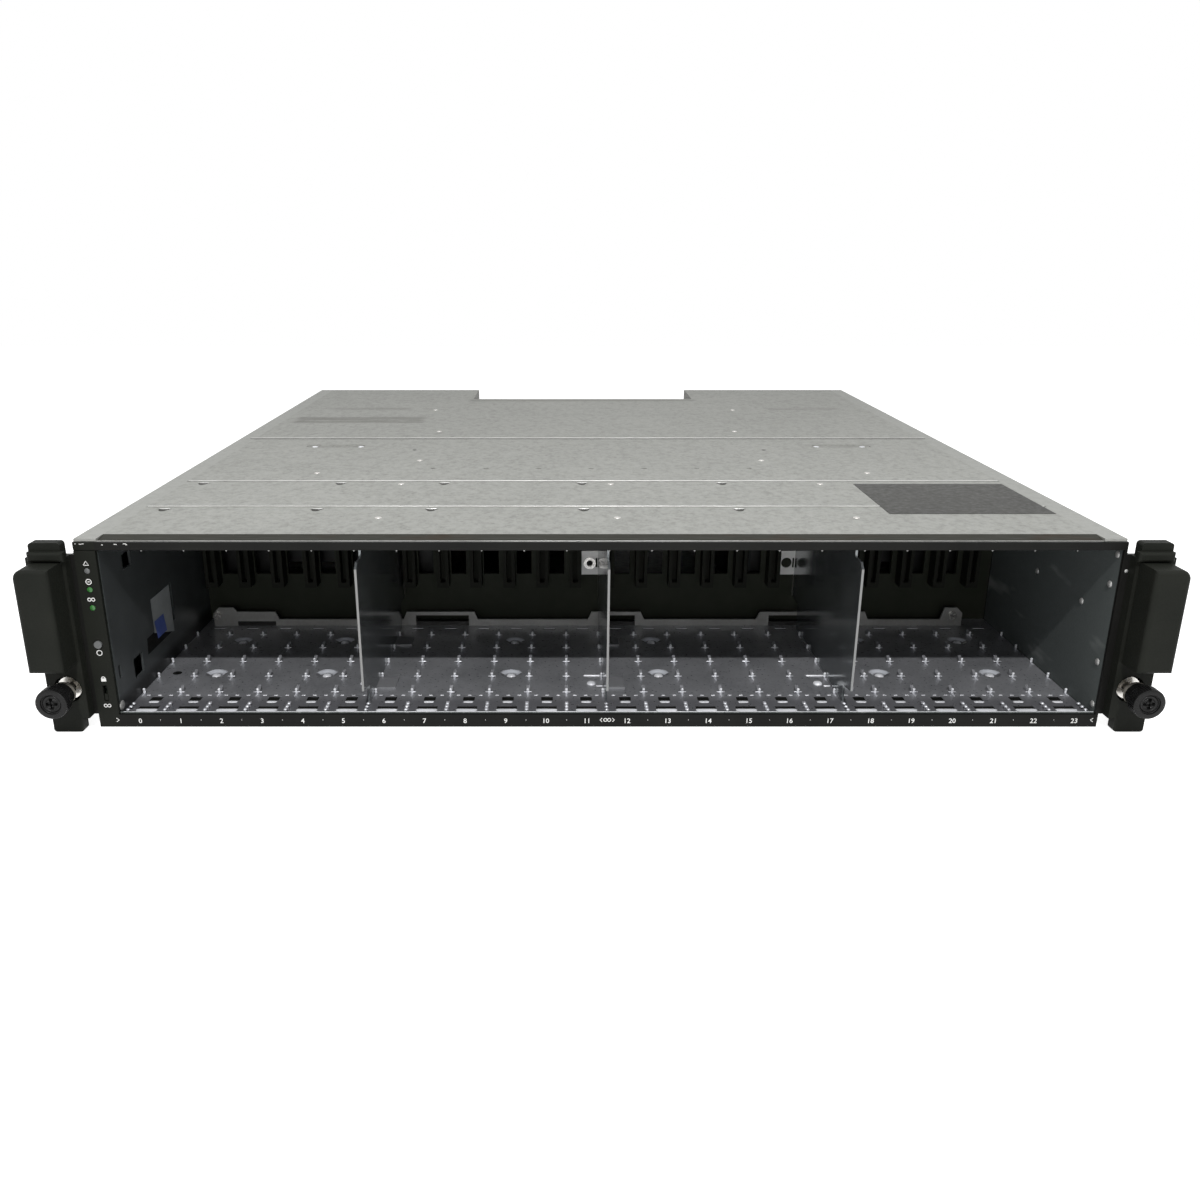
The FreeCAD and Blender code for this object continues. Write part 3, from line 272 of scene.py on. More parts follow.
def layer(tree, tone, field, low, high, share, colour):  # lays a colour on as the field goes from low to high
    return blendColour(tree, spread(tree, field, low, high, 0.0, share), tone, colour)


def endFinish(tree, shader, tone, grain, rough, depth):  # roughness and relief follow the grain
    tree.links.new(tone, shader.inputs["Base Color"])
    tree.links.new(spread(tree, grain, *midNoise, *rough), shader.inputs["Roughness"])
    relief = addNode(tree, "ShaderNodeBump", {"Height": grain, "Distance": depth, "Strength": 1.0})
    tree.links.new(relief.outputs[0], shader.inputs["Normal"])


galvanised = dict(
    light=(0.39, 0.394, 0.372), dark=(0.34, 0.344, 0.324), grain=(0.45, 0.455, 0.43),
    edge=(0.40, 0.405, 0.385), margin=(0.03, 0.03, 0.024), rust=(0.03, 0.02, 0.012),
    # inside and deep are painted shade for the walls in the bay and the space behind the board
    inside=(0.10, 0.112, 0.11), smudgeAndShade=(0.16, 0.16, 0.145), scratch=(0.26, 0.27, 0.265),
    deep=(0.02, 0.022, 0.022), rough=(0.5, 0.66), gloss=0.12,
)
sheetNoise = dict(  # scale, detail, roughness and stretch
    cloud=(9.0, 4.0), grain=(900.0, 2.0, 0.6, (0.12, 1.0, 1.0)), speckle=(420.0, 4.0, 0.7),
    patches=(60.0, 4.0, 0.6, (0.5, 1.0, 1.0)), mottle=(330.0, 3.0, 0.8, (0.7, 0.5, 1.0)),
    blotches=(150.0, 4.0, 0.7, (0.12, 1.6, 1.0)), scratches=(260.0, 3.0, 0.6, (1.0, 0.06, 0.22)),
)
sheetLayers = (  # noise, its start and end, share at most, colour
    ("grain", 0.3, 0.75, 0.35, "grain"), ("speckle", 0.44, 0.70, 0.44, "smudgeAndShade"),
    ("mottle", 0.42, 0.66, 0.32, "grain"), ("mottle", 0.52, 0.34, 0.20, "smudgeAndShade"),
)
# painted shade: the top is darkened from a front row to a rear one, for less light toward the rear
sheetShadeAndMarks = dict(shadeRows=(100.0, 480.0), paintedShade=0.16, rim=0.55, blotches=(0.34, 0.56, 0.25, 1.0), soft=3.0,
                 rust=(0.52, 0.66, 0.7), scratches=(0.6, 0.74, 0.8))
sheetLimits = dict(marginLow=85.2, bayWall=222.4, bayTop=82.6, deepRear=236.0, deepTop=85.4, deepWall=222.2)
smudgesAndShade = (  # smudged patches on the top, and painted shade along the notch's front edge and in the two pressed seats: left, right, front, rear, strength
    (-206, -115, 306, 333, 0.75), (-190, -132, 366, 379, 0.4), (138, 194, 366, 378, 0.35),
    # painted shade: a dark band along the notch's front edge, and dark lines in the two pressed seats
    (-90, 90, 413, 427, 0.55), (-174, -138, 214, 220, 0.5), (132, 169, 214, 220, 0.5),
)


def inside(tree, x, y, left, right, front, rear, soft):  # 1 in a rectangle of the top, with a soft edge
    return allOf(tree, spread(tree, x, (left - soft) * mm, (left + soft) * mm),
                 spread(tree, x, (right + soft) * mm, (right - soft) * mm),
                 spread(tree, y, rowAt(front - soft), rowAt(front + soft)),
                 spread(tree, y, rowAt(rear + soft), rowAt(rear - soft)))


def zincSheetFinish():  # rolled grain and smudges outside, painted shade toward the rear, a dark margin, and painted shade with scratches on the walls in the bay and behind the board
    colours, wear, limits = galvanised, sheetShadeAndMarks, sheetLimits
    material, tree, shader, place = startFinish("zincSheet", Specular_IOR_Level=colours["gloss"])
    axes = coordinates(tree, place)
    x, y, z = axes["X"], axes["Y"], axes["Z"]
    out = combine(tree, "ABSOLUTE", x, 0.0)
    fields = {name: noise(tree, place, *settings) for name, settings in sheetNoise.items()}
    tone = blendColour(tree, spread(tree, fields["cloud"], *midNoise), colours["dark"], colours["light"])
    for field, low, high, share, colour in sheetLayers:
        tone = layer(tree, tone, fields[field], low, high, share, colours[colour])
    # painted shade, darker toward the rear of the top
    front, rear = wear["shadeRows"]
    tone = layer(tree, tone, y, rowAt(front), rowAt(rear), wear["paintedShade"], colours["smudgeAndShade"])
    onTop = above(tree, z, bayCeiling * mm)
    rim = allOf(tree, above(tree, out, hemHalf * mm), onTop, wear["rim"])
    tone = blendColour(tree, rim, tone, colours["edge"])
    blotches = spread(tree, fields["blotches"], *wear["blotches"])
    for left, right, front, rear, strength in smudgesAndShade:
        patch = inside(tree, x, y, left, right, front, rear, wear["soft"])
        tone = blendColour(tree, allOf(tree, patch, blotches, onTop, strength), tone, colours["smudgeAndShade"])
    margin = allOf(tree, below(tree, y, rowAt(marginRow)), below(tree, out, hemHalf * mm),
                   above(tree, z, limits["marginLow"] * mm))
    olive = layer(tree, colours["margin"], fields["patches"], *wear["rust"], colours["rust"])
    tone = blendColour(tree, margin, tone, olive)
    # painted shade: the walls in the bay are darkened, with their scratches left lighter
    bay = allOf(tree, below(tree, y, rowAt(boardRow)), below(tree, out, limits["bayWall"] * mm),
                below(tree, z, limits["bayTop"] * mm))
    paintedShade = layer(tree, colours["inside"], fields["scratches"], *wear["scratches"], colours["scratch"])
    tone = blendColour(tree, bay, tone, paintedShade)
    # painted shade: darker still behind the board, where the vents look through
    behind = allOf(tree, above(tree, y, rowAt(boardRow)), below(tree, y, rowAt(limits["deepRear"])),
                   below(tree, z, limits["deepTop"] * mm), below(tree, out, limits["deepWall"] * mm))
    tone = blendColour(tree, behind, tone, colours["deep"])
    endFinish(tree, shader, tone, fields["grain"], colours["rough"], fineRelief)
    return material


zincNoise = dict(cloud=(45.0, 5.0), grain=(700.0, 2.0), glint=(0.45, 0.8, 0.4))


def zincFinish(name, dark, light, glint, rough, metallic, depth=0.00002, wear=None):  # cloudy, glinting
    material, tree, shader, place = startFinish(name, metallic)
    cloud, grain = (noise(tree, place, *zincNoise[key]) for key in ("cloud", "grain"))
    tone = blendColour(tree, spread(tree, cloud, *midNoise), dark, light)
    tone = layer(tree, tone, grain, *zincNoise["glint"], glint)
    if wear:
        tone = wear(tree, place, tone)
    endFinish(tree, shader, tone, grain, rough, depth)
    return material


plainCloud = 30.0  # noise scale


def plainFinish(name, dark, light, grainScale, rough, metallic=0.0, wear=None, **sockets):  # cloudy, fine
    material, tree, shader, place = startFinish(name, metallic, **sockets)
    cloud, grain = (noise(tree, place, scale) for scale in (plainCloud, grainScale))
    tone = blendColour(tree, spread(tree, cloud, *midNoise), dark, light)
    if wear:
        tone = wear(tree, place, tone)
    endFinish(tree, shader, tone, grain, rough, fineRelief)
    return material


# used below to paint shade that grows along an axis
def fadeAlong(axis, colour, start, end):  # turns to the colour from one place along an axis to the next
    def wear(tree, place, tone):
        return blendColour(tree, spread(tree, coordinates(tree, place)[axis], start, end), tone, colour)

    return wear


dividerMarksAndLight = dict(
    glint=(0.30, 0.31, 0.315), streakNoise=(160.0, 3.0, 0.6, (1.0, 0.05, 0.3)), streaks=(0.60, 0.74, 0.5),
    metallic=0.7, paleMetallic=0.1, edgeDepth=0.15, edgeNoise=40.0, edgeSpread=(0.3, 0.6, 0.5, 1.0),
    edge=(0.24, 0.24, 0.235), tabRow=128.6, tab=(0.80, 0.80, 0.78), footRise=1.05, feet=(0.21, 0.213, 0.222),
)


def paleEdges(tree, place, tone):  # front edge and feet are paler than the plate, the edge partly bare cut steel and partly painted highlight; the rear tab is painted light, near white and less metallic
    p = dividerMarksAndLight
    axes = coordinates(tree, place)
    tone = layer(tree, tone, noise(tree, place, *p["streakNoise"]), *p["streaks"], p["glint"])
    edge = below(tree, axes["Y"], rowAt(dividerRow + p["edgeDepth"]))
    # painted light on the rear tab, where little light reaches
    tab = above(tree, axes["Y"], rowAt(p["tabRow"]))
    feet = below(tree, axes["Z"], (bayFloor + p["footRise"]) * mm)
    line = allOf(tree, edge, spread(tree, noise(tree, place, p["edgeNoise"]), *p["edgeSpread"]))
    for mask, colour in ((line, p["edge"]), (feet, p["feet"]), (tab, p["tab"])):
        tone = blendColour(tree, mask, tone, colour)
    metal = spread(tree, anyOf(tree, tab, edge, feet), 0.0, 1.0, p["metallic"], p["paleMetallic"])
    tree.links.new(metal, tree.nodes["Principled BSDF"].inputs["Metallic"])
    return tone


bridgeShade = dict(rise=2.5, colour=(0.010, 0.010, 0.009),  # painted shade under each span; spans: slot edge, start and end from it
               spans=((18, -15.0, 35.0), (12, 1.0, 20.0), (6, 7.8, 37.0), (0, 18.0, 39.0)))


def openBridges(tree, place, tone):  # painted shade: dark under each span of the bracket, for the opening behind it
    axes = coordinates(tree, place)
    low = below(tree, axes["Z"], (bayFloor + bridgeShade["rise"]) * mm)
    for number, start, end in bridgeShade["spans"]:
        left, right = (slotEdge(number) + shift for shift in (start, end))
        gapShade = allOf(tree, low, above(tree, axes["X"], left * mm), below(tree, axes["X"], right * mm))
        tone = blendColour(tree, gapShade, tone, bridgeShade["colour"])
    return tone


dishShade = dict(colour=(0.15, 0.15, 0.16), past=0.5, between=80.0, high=0.8, low=1.4)


def dullHollow(tree, place, tone):  # painted shade at the bottom and on the front half of each dish
    p = dishShade
    axes = coordinates(tree, place)
    first, second = (below(tree, axes["Y"], rowAt(row + p["past"])) for row in dimpleRows)
    second = allOf(tree, above(tree, axes["Y"], rowAt(p["between"])), second)
    bottom = spread(tree, axes["Z"], (bayFloor - p["high"]) * mm, (bayFloor - p["low"]) * mm)
    return blendColour(tree, anyOf(tree, bottom, first, second), tone, p["colour"])


def dress(material, names):
    for name in names.split():
        nodes[name].data.materials.clear()
        nodes[name].data.materials.append(material)
    return material


dress(zincSheetFinish(), "chassis_base front_cover rear_cover left_partition right_partition module_shelf")
floorZinc = dress(
    zincFinish("floorZinc", (0.25, 0.255, 0.27), (0.37, 0.375, 0.395), (0.50, 0.50, 0.53), (0.26, 0.44), 0.5,
               wear=fadeAlong("Y", (0.19, 0.19, 0.205), rowAt(25.0), rowAt(17.0))),  # less light at the front
    "lower_guide_plate upper_guide_plate")
dress(zincFinish("wallZinc", (0.15, 0.165, 0.17), (0.23, 0.245, 0.25), dividerMarksAndLight["glint"], (0.12, 0.2),
                 dividerMarksAndLight["metallic"], depth=0.00001, wear=paleEdges),
      "left_divider centre_divider right_divider")
dress(zincFinish("bayZinc", (0.075, 0.082, 0.084), (0.105, 0.115, 0.117), (0.12, 0.13, 0.13), (0.30, 0.36),
                 0.4, depth=0.000003,
                 wear=fadeAlong("Z", (0.018, 0.019, 0.019), 13.5 * mm, 9.5 * mm)),  # its foot lies in shade
      "left_bay_wall")
dress(zincFinish("bracketZinc", (0.24, 0.24, 0.23), (0.32, 0.32, 0.31), (0.38, 0.38, 0.37), (0.3, 0.45), 0.3,
                 wear=openBridges),
      "midplane_bracket")
dress(plainFinish("moduleSteel", (0.36, 0.36, 0.355), (0.44, 0.44, 0.435), 600.0, (0.35, 0.5), 0.35,
                  wear=fadeAlong("Y", (0.03, 0.03, 0.03), rowAt(240.0), rowAt(200.0)),  # painted shade toward the bay
                  Specular_IOR_Level=0.2),
      "left_psu_case right_psu_case lower_controller_case upper_controller_case "
      "left_psu_faceplate right_psu_faceplate")
# black paint on the trim and ears; the same finish is painted shade in the latch windows, the hole spots and
# the window patch
blackPaintAndShade = dress(
    plainFinish("blackPaintAndShade", (0.006, 0.006, 0.0056), (0.011, 0.011, 0.010), 1200.0, (0.32, 0.5),
                Specular_IOR_Level=0.1),
    "slot_strip top_rail right_trim_post left_ear right_ear")
blackPlastic = dress(
    plainFinish("blackPlastic", (0.009, 0.010, 0.008), (0.014, 0.015, 0.012), 1500.0, (0.45, 0.65),
                Specular_IOR_Level=0.1),
    "left_ear_cover right_ear_cover control_panel mode_switch left_thumbscrew right_thumbscrew "
    "left_psu_fan_frame right_psu_fan_frame left_psu_fan right_psu_fan left_psu_handle right_psu_handle "
    "left_psu_inlet right_psu_inlet left_psu_switch right_psu_switch")
dress(plainFinish("connectorBlack", (0.016, 0.017, 0.014), (0.026, 0.027, 0.022), 900.0, (0.5, 0.7),
                  Specular_IOR_Level=0.06),
      "midplane_connectors")
dress(plainFinish("circuitBoard", (0.010, 0.014, 0.011), (0.014, 0.02, 0.015), 300.0, (0.3, 0.5)),
      "control_board lower_controller_board upper_controller_board")
dress(plainFinish("midplaneBoard", (0.022, 0.025, 0.018), (0.032, 0.035, 0.026), 300.0, (0.4, 0.6),
                  Specular_IOR_Level=0.1),
      "midplane_board")
nickelPlate = dress(
    plainFinish("nickelPlate", (0.62, 0.60, 0.57), (0.74, 0.73, 0.70), 500.0, (0.18, 0.32), 1.0),
    "screw_ferrules midplane_screws cover_rivets left_retainer right_retainer")
dress(plainFinish("portShell", (0.40, 0.39, 0.37), (0.50, 0.49, 0.47), 500.0, (0.3, 0.45), 0.5,
                  wear=fadeAlong("Y", (0.012, 0.012, 0.012), rowAt(425.6), rowAt(425.2))),  # painted shade inside
      "lower_controller_ports upper_controller_ports")
dress(plainFinish("labelFilm", (0.030, 0.030, 0.027), (0.046, 0.046, 0.041), 400.0, (0.35, 0.5),
                  Specular_IOR_Level=0.12),
      "info_label")
greenLens = dress(
    plainFinish("greenLens", (0.015, 0.10, 0.02), (0.06, 0.24, 0.05), 300.0, (0.06, 0.12)),
    "led_lenses")
greyPlastic = dress(
    plainFinish("greyPlastic", (0.10, 0.105, 0.105), (0.16, 0.165, 0.165), 900.0, (0.4, 0.55)),
    "id_button panel_cable")
dress(plainFinish("releasePlastic", (0.33, 0.08, 0.03), (0.42, 0.12, 0.05), 900.0, (0.4, 0.55)),
      "left_psu_latch right_psu_latch lower_controller_lever upper_controller_lever")
whiteInk = plainFinish("whiteInk", (0.78, 0.78, 0.76), (0.92, 0.92, 0.90), 1500.0, (0.5, 0.7))
blueFilm = plainFinish("blueFilm", (0.06, 0.10, 0.32), (0.10, 0.15, 0.50), 500.0, (0.3, 0.45))
windowGrey = plainFinish("windowGrey", (0.30, 0.32, 0.32), (0.40, 0.42, 0.42), 300.0, (0.3, 0.5))
# pale flakes of chipped paint, and painted highlight on the pressed lines, margin edges and the ridge behind
# the seam
paleChipsAndHighlight = plainFinish("paleChipsAndHighlight", (0.50, 0.50, 0.48), (0.80, 0.80, 0.78), 1500.0, (0.3, 0.5), 0.1)
glintSteel = plainFinish("glintSteel", (0.50, 0.51, 0.54), (0.72, 0.73, 0.77), 900.0, (0.22, 0.4), 0.35)
seamShade = plainFinish("seamShade", (0.04, 0.04, 0.037), (0.07, 0.07, 0.065), 900.0, (0.5, 0.7),
                        Specular_IOR_Level=0.1)
# painted highlight: near white for the lips, ticks, pills, dimple rivets and seat domes that catch the light
highlightSteel = plainFinish("highlightSteel", (0.62, 0.63, 0.66), (0.88, 0.89, 0.92), 900.0, (0.3, 0.5), 0.1)
# painted highlight: dish linings are paler than the floor zinc, with painted shade in their hollows
dishLitAndShaded = plainFinish("dishLitAndShaded", (0.52, 0.54, 0.58), (0.66, 0.68, 0.73), 700.0, (0.3, 0.4), 0.15,
                        wear=dullHollow)
rivetSteel = plainFinish("rivetSteel", (0.30, 0.30, 0.29), (0.42, 0.42, 0.41), 700.0, (0.35, 0.5), 0.4)
gripBlack = plainFinish("gripBlack", (0.006, 0.006, 0.006), (0.010, 0.010, 0.010), 1500.0, (0.22, 0.34),
                        Specular_IOR_Level=0.2)
stemSteel = plainFinish("stemSteel", (0.42, 0.39, 0.34), (0.56, 0.53, 0.47), 500.0, (0.34, 0.5), 0.7)
print("finishes assigned")

# surfaces made from grids of places

directions = dict(  # across, along and out of a face
    up=((1, 0, 0), (0, 1, 0), (0, 0, 1)), down=((1, 0, 0), (0, 1, 0), (0, 0, -1)),
    front=((1, 0, 0), (0, 0, 1), (0, -1, 0)), rear=((1, 0, 0), (0, 0, 1), (0, 1, 0)),
    left=((0, 1, 0), (0, 0, 1), (-1, 0, 0)), right=((0, 1, 0), (0, 0, 1), (1, 0, 0)),
)
fewSides, someSides, manySides = 8, 16, 20  # round a speck, a rivet and a smooth head
creaseAngle = 40.0  # degrees past which an edge shows
mergeGap = 1e-7  # metres


def roundAngles(sides):
    return np.linspace(0, 2 * math.pi, sides, endpoint=False)


def boxyReach(angle, power):  # a superellipse: (|cos a|^p + |sin a|^p)^(-1/p), round for 2, boxy for more
    return (abs(np.cos(angle)) ** power + abs(np.sin(angle)) ** power) ** (-1 / power)


def turned(centres, profile, toward, sides=12):  # centre + radius (cos a, sin a) across + height along
    across, along, axis = (np.array(v, float) for v in directions[toward])
    angle = roundAngles(sides)[:, None]
    ring = np.cos(angle) * across + np.sin(angle) * along
    radius, height = np.array(profile, float).T
    one = radius[:, None, None] * ring + height[:, None, None] * axis
    return np.asarray(centres, float)[:, None, None, :] + one


def domeProfile(radius, height, rings=4):  # quarter ellipse from the crown to the rim, closed underneath
    turn = np.linspace(0, math.pi / 2, rings + 1)
    return np.vstack((np.stack((radius * np.sin(turn), height * np.cos(turn)), axis=1), (0.0, 0.0)))


rodEnds = dict(longest=0.3, knee=0.3, kneeSize=0.7)  # a tip's share of the rod, and the bend in the tip


def rods(starts, ends, across, wide, high, sides=6):  # an ellipse along the line, drawn in at both ends
    starts, ends = np.asarray(starts, float), np.asarray(ends, float)
    line = ends - starts
    length = np.linalg.norm(line, axis=1, keepdims=True)
    across = np.array(across, float)
    rise = np.cross(line / length, across)
    tip = np.minimum(max(wide, high) / length, rodEnds["longest"])
    knee = rodEnds["knee"] * tip
    along = np.concatenate((0 * tip, knee, tip, 1 - tip, 1 - knee, 0 * tip + 1), axis=1)
    size = np.array((0.0, rodEnds["kneeSize"], 1.0, 1.0, rodEnds["kneeSize"], 0.0))
    angle = roundAngles(sides)[:, None]
    ring = wide * np.cos(angle) * across + high * np.sin(angle) * rise[:, None, :]
    middle = starts[:, None, None] + along[:, :, None, None] * line[:, None, None]
    return middle + size[None, :, None, None] * ring[:, None]


def bars(centres, length, wide, high):  # rods along x about their middles
    reach = np.array((length / 2, 0.0, 0.0))
    centres = np.asarray(centres, float)
    return rods(centres - reach, centres + reach, (0, 1, 0), wide, high)


def stroke(path, width, lift):  # a flat line on the front face, half its width to each side of places (x, z)
    path = np.asarray(path, float)
    step = np.gradient(path, axis=0)
    step /= np.linalg.norm(step, axis=1, keepdims=True)
    normal = np.stack((-step[:, 1], step[:, 0]), axis=1) * width / 2
    sides = np.stack((path + normal, path - normal), axis=1)
    return np.stack((sides[..., 0], np.full(sides.shape[:2], -lift), sides[..., 1]), axis=-1)[None]


def arc(x, z, radius, first, last, count=17):  # degrees, round (x, z)
    angle = np.radians(np.linspace(first, last, count))
    return np.stack((x + radius * np.cos(angle), z + radius * np.sin(angle)), axis=1)


def addMesh(name, places, faces, material, body, crease, solid):
    mesh = bpy.data.meshes.new(name)
    mesh.from_pydata(inFrame(places), [], faces)
    work = bmesh.new()
    work.from_mesh(mesh)
    bmesh.ops.remove_doubles(work, verts=work.verts, dist=mergeGap)  # closes seams and poles
    if solid:
        bmesh.ops.recalc_face_normals(work, faces=work.faces)
    work.to_mesh(mesh)
    work.free()
    mesh.shade_smooth()
    mesh.set_sharp_from_angle(angle=math.radians(crease))
    mesh.materials.append(material)
    piece = bpy.data.objects.new(name, mesh)
    bpy.context.scene.collection.objects.link(piece)
    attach(piece, body)
    return piece


def addPiece(name, grids, material, body="chassis", crease=creaseAngle, wrap=True, solid=True):
    # each grid is copies x rows x columns of places, and wrap joins its last column to its first
    places, faces, first = [], [], 0
    for grid in grids:
        copies, rows, columns = grid.shape[:3]
        index = np.arange(copies * rows * columns).reshape(copies, rows, columns) + first
        if wrap:
            index = np.concatenate((index, index[:, :, :1]), axis=2)
        quads = (index[:, :-1, :-1], index[:, :-1, 1:], index[:, 1:, 1:], index[:, 1:, :-1])
        faces.append(np.stack(quads, axis=-1).reshape(-1, 4))
        places.append(grid.reshape(-1, 3))
        first += copies * rows * columns
    places, faces = np.concatenate(places), np.concatenate(faces)
    return addMesh(name, places, faces, material, body, crease, wrap and solid)


# printing on the slot strip and the control panel

digits = dict(height=2.3, level=3.0, lift=0.03, bold=0.01, curveSteps=3)


def textTriangles(text):  # the plain built-in face, filled flat: corners and triangles about the middle
    curve = bpy.data.curves.new("digits", "FONT")
    curve.body = text
    curve.resolution_u = digits["curveSteps"]
    curve.offset = digits["bold"]
    holder = bpy.data.objects.new("digits", curve)
    bpy.context.scene.collection.objects.link(holder)
    mesh = bpy.data.meshes.new_from_object(holder.evaluated_get(bpy.context.evaluated_depsgraph_get()))
    mesh.calc_loop_triangles()
    corners = np.empty(len(mesh.vertices) * 3)
    mesh.vertices.foreach_get("co", corners)
    triangles = np.empty(len(mesh.loop_triangles) * 3, dtype=int)
    mesh.loop_triangles.foreach_get("vertices", triangles)
    bpy.data.objects.remove(holder)
    bpy.data.curves.remove(curve)
    bpy.data.meshes.remove(mesh)
    corners = corners.reshape(-1, 3)
    corners -= (corners.max(axis=0) + corners.min(axis=0)) / 2
    return corners / (corners[:, 1].max() * 2), triangles.reshape(-1, 3)


def addSlotNumbers():  # one number on the middle of each slot
    places, faces, first = [], [], 0
    for number in range(slotCount):
        corners, triangles = textTriangles(str(number))
        flat = np.zeros_like(corners)
        flat[:, 0] = slotEdge(number + 0.5) + corners[:, 0] * digits["height"]
        flat[:, 1] = -digits["lift"]
        flat[:, 2] = digits["level"] + corners[:, 1] * digits["height"]
        places.append(flat)
        faces.append(triangles + first)
        first += len(flat)
    places, faces = np.concatenate(places), np.concatenate(faces)
    addMesh("slot_numbers", places, faces, whiteInk, "chassis", creaseAngle, False)


marks = dict(line=0.36, lift=0.03, level=3.4, leftInset=0.8, rightInset=2.6, dash=0.12, arrowBack=0.7,
             arrowTip=0.5, arrowHalf=0.9, middleBack=2.3, middleTip=3.2, ringShift=0.85, ringRadius=0.75)


def chevron(x, z, back, tip):  # an arrow head, its corners at x + back and its point at x + tip
    return np.array(((x + back, z + marks["arrowHalf"]), (x + tip, z), (x + back, z - marks["arrowHalf"])))


def addStripMarks():  # a dash at each slot edge, arrows at the ends, two rings between arrows in the middle
    p = marks
    z, half = p["level"], slotCount // 2
    middle = slotEdge(half)
    lines = [chevron(bayLeft - p["leftInset"], z, -p["arrowBack"], p["arrowTip"])]
    edges = [slotEdge(n) for n in range(1, slotCount) if n != half]
    lines += [np.array(((x - p["dash"], z), (x + p["dash"], z))) for x in edges]
    lines += [arc(middle + side * p["ringShift"], z, p["ringRadius"], 0, 360) for side in (-1, 1)]
    lines += [chevron(middle, z, side * p["middleBack"], side * p["middleTip"]) for side in (-1, 1)]
    lines += [chevron(bayRight - p["rightInset"], z, p["arrowBack"], -p["arrowTip"])]
    grids = [stroke(line, p["line"], p["lift"]) for line in lines]
    addPiece("strip_marks", grids, whiteInk, wrap=False)


panelMiddle = (panelLow[0] + bayLeft) / 2
icons = dict(
    fault=76.4, ring=68.2, turning=60.2, find=35.6, lock=23.2, cycle=10.4,  # levels
    size=1.15, apex=1.0, base=0.8, dash=0.5, pairShift=0.8, pairRadius=0.7,
    shackle=0.75, shackleRise=0.3, lockHalf=1.1, lockDrop=0.4, lockHeight=1.5,
)


def addPanelIcons():  # a triangle, rings, pairs of rings and a padlock, down the middle of the panel
    p, x = icons, panelMiddle
    size, base = p["size"], p["fault"] - p["base"]
    lines = [np.array(((x - size, base), (x, p["fault"] + p["apex"]), (x + size, base), (x - size, base)))]
    lines += [arc(x, p[level], size, 0, 360) for level in ("ring", "find")]
    lines += [np.array(((x - p["dash"], p["ring"]), (x + p["dash"], p["ring"])))]
    for level in ("turning", "cycle"):
        lines += [arc(x + side * p["pairShift"], p[level], p["pairRadius"], 0, 360) for side in (-1, 1)]
    lines += [arc(x, p["lock"] + p["shackleRise"], p["shackle"], 0, 180)]
    grids = [stroke(line, marks["line"], marks["lift"]) for line in lines]
    z = p["lock"] - p["lockDrop"]
    grids.append(stroke(((x - p["lockHalf"], z), (x + p["lockHalf"], z)), p["lockHeight"], marks["lift"]))
    addPiece("panel_icons", grids, whiteInk, wrap=False)


lenses = dict(levels=(73.0, 64.6, 56.4), radius=1.2, crown=0.3, length=5.6)


def addLenses():  # light pipes: a dome in front of a cylinder
    p = lenses
    dome = domeProfile(p["radius"], p["crown"])[:-1]
    profile = np.vstack((dome, (p["radius"], -p["length"]), (0.0, -p["length"])))
    centres = [(panelMiddle, 0.0, z) for z in p["levels"]]
    fault, lit = (turned(spots, profile, "front", manySides) for spots in (centres[:1], centres[1:]))
    lamps = addPiece("status_lamps", [lit], greenLens)
    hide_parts("led_lenses")
    addPiece("fault_lamp", [fault], greyPlastic)


addSlotNumbers()
addStripMarks()
addPanelIcons()
addLenses()
print("printing and lamps made")

# bay floor: lips, ticks and beads with painted highlights where the pressed sheet catches the light, and
# painted shade in its windows and holes

slotMiddles = slotEdge(np.arange(slotCount) + 0.5)
lips = dict(
    wide=9.8, wideRow=8.0, wideHalf=1.3, narrow=4.8, narrowRow=16.8, narrowHalf=1.0, rise=0.3,
    dash=1.8, dashRow=24.3, dashStep=5.2, rearDash=6.0, rearRow=114.2, thin=0.2,
    edgeRow=2.2, edgeLevel=6.35, edgeInset=2.0,
)


def addFloorLips():  # flat rods of painted highlight ahead of the windows, dashes behind them and one line along the front edge
    p = lips
    thin = p["thin"]
    steps = np.concatenate([slotMiddles + shift * p["dashStep"] for shift in (-1, 0, 1)])
    edge = (((bayLeft + bayRight) / 2, p["edgeRow"], p["edgeLevel"]),)
    grids = [
        bars(grid3(slotMiddles, (p["wideRow"],), bayFloor), p["wide"], p["wideHalf"], p["rise"]),
        bars(grid3(slotMiddles, (p["narrowRow"],), bayFloor), p["narrow"], p["narrowHalf"], p["rise"]),
        bars(grid3(steps, (p["dashRow"],), bayFloor), p["dash"], thin, thin),
        bars(grid3(slotMiddles, (p["rearRow"],), bayFloor), p["rearDash"], thin, thin),
        bars(edge, bayRight - bayLeft - p["edgeInset"], thin, thin),
    ]
    addPiece("floor_lips", grids, highlightSteel)


ticks = dict(
    shift=0.5, rise=2.7, wide=0.55, high=0.3, knob=0.7, inset=1.1, rightOf=(0, 6), leftOf=(12, 18, 24),
    barLevel=0.75, barLength=3.8, barRadius=0.22, shortBar=1.4, reflectionReach=3.4, reflectionWide=0.4, reflectionHigh=0.15,
)


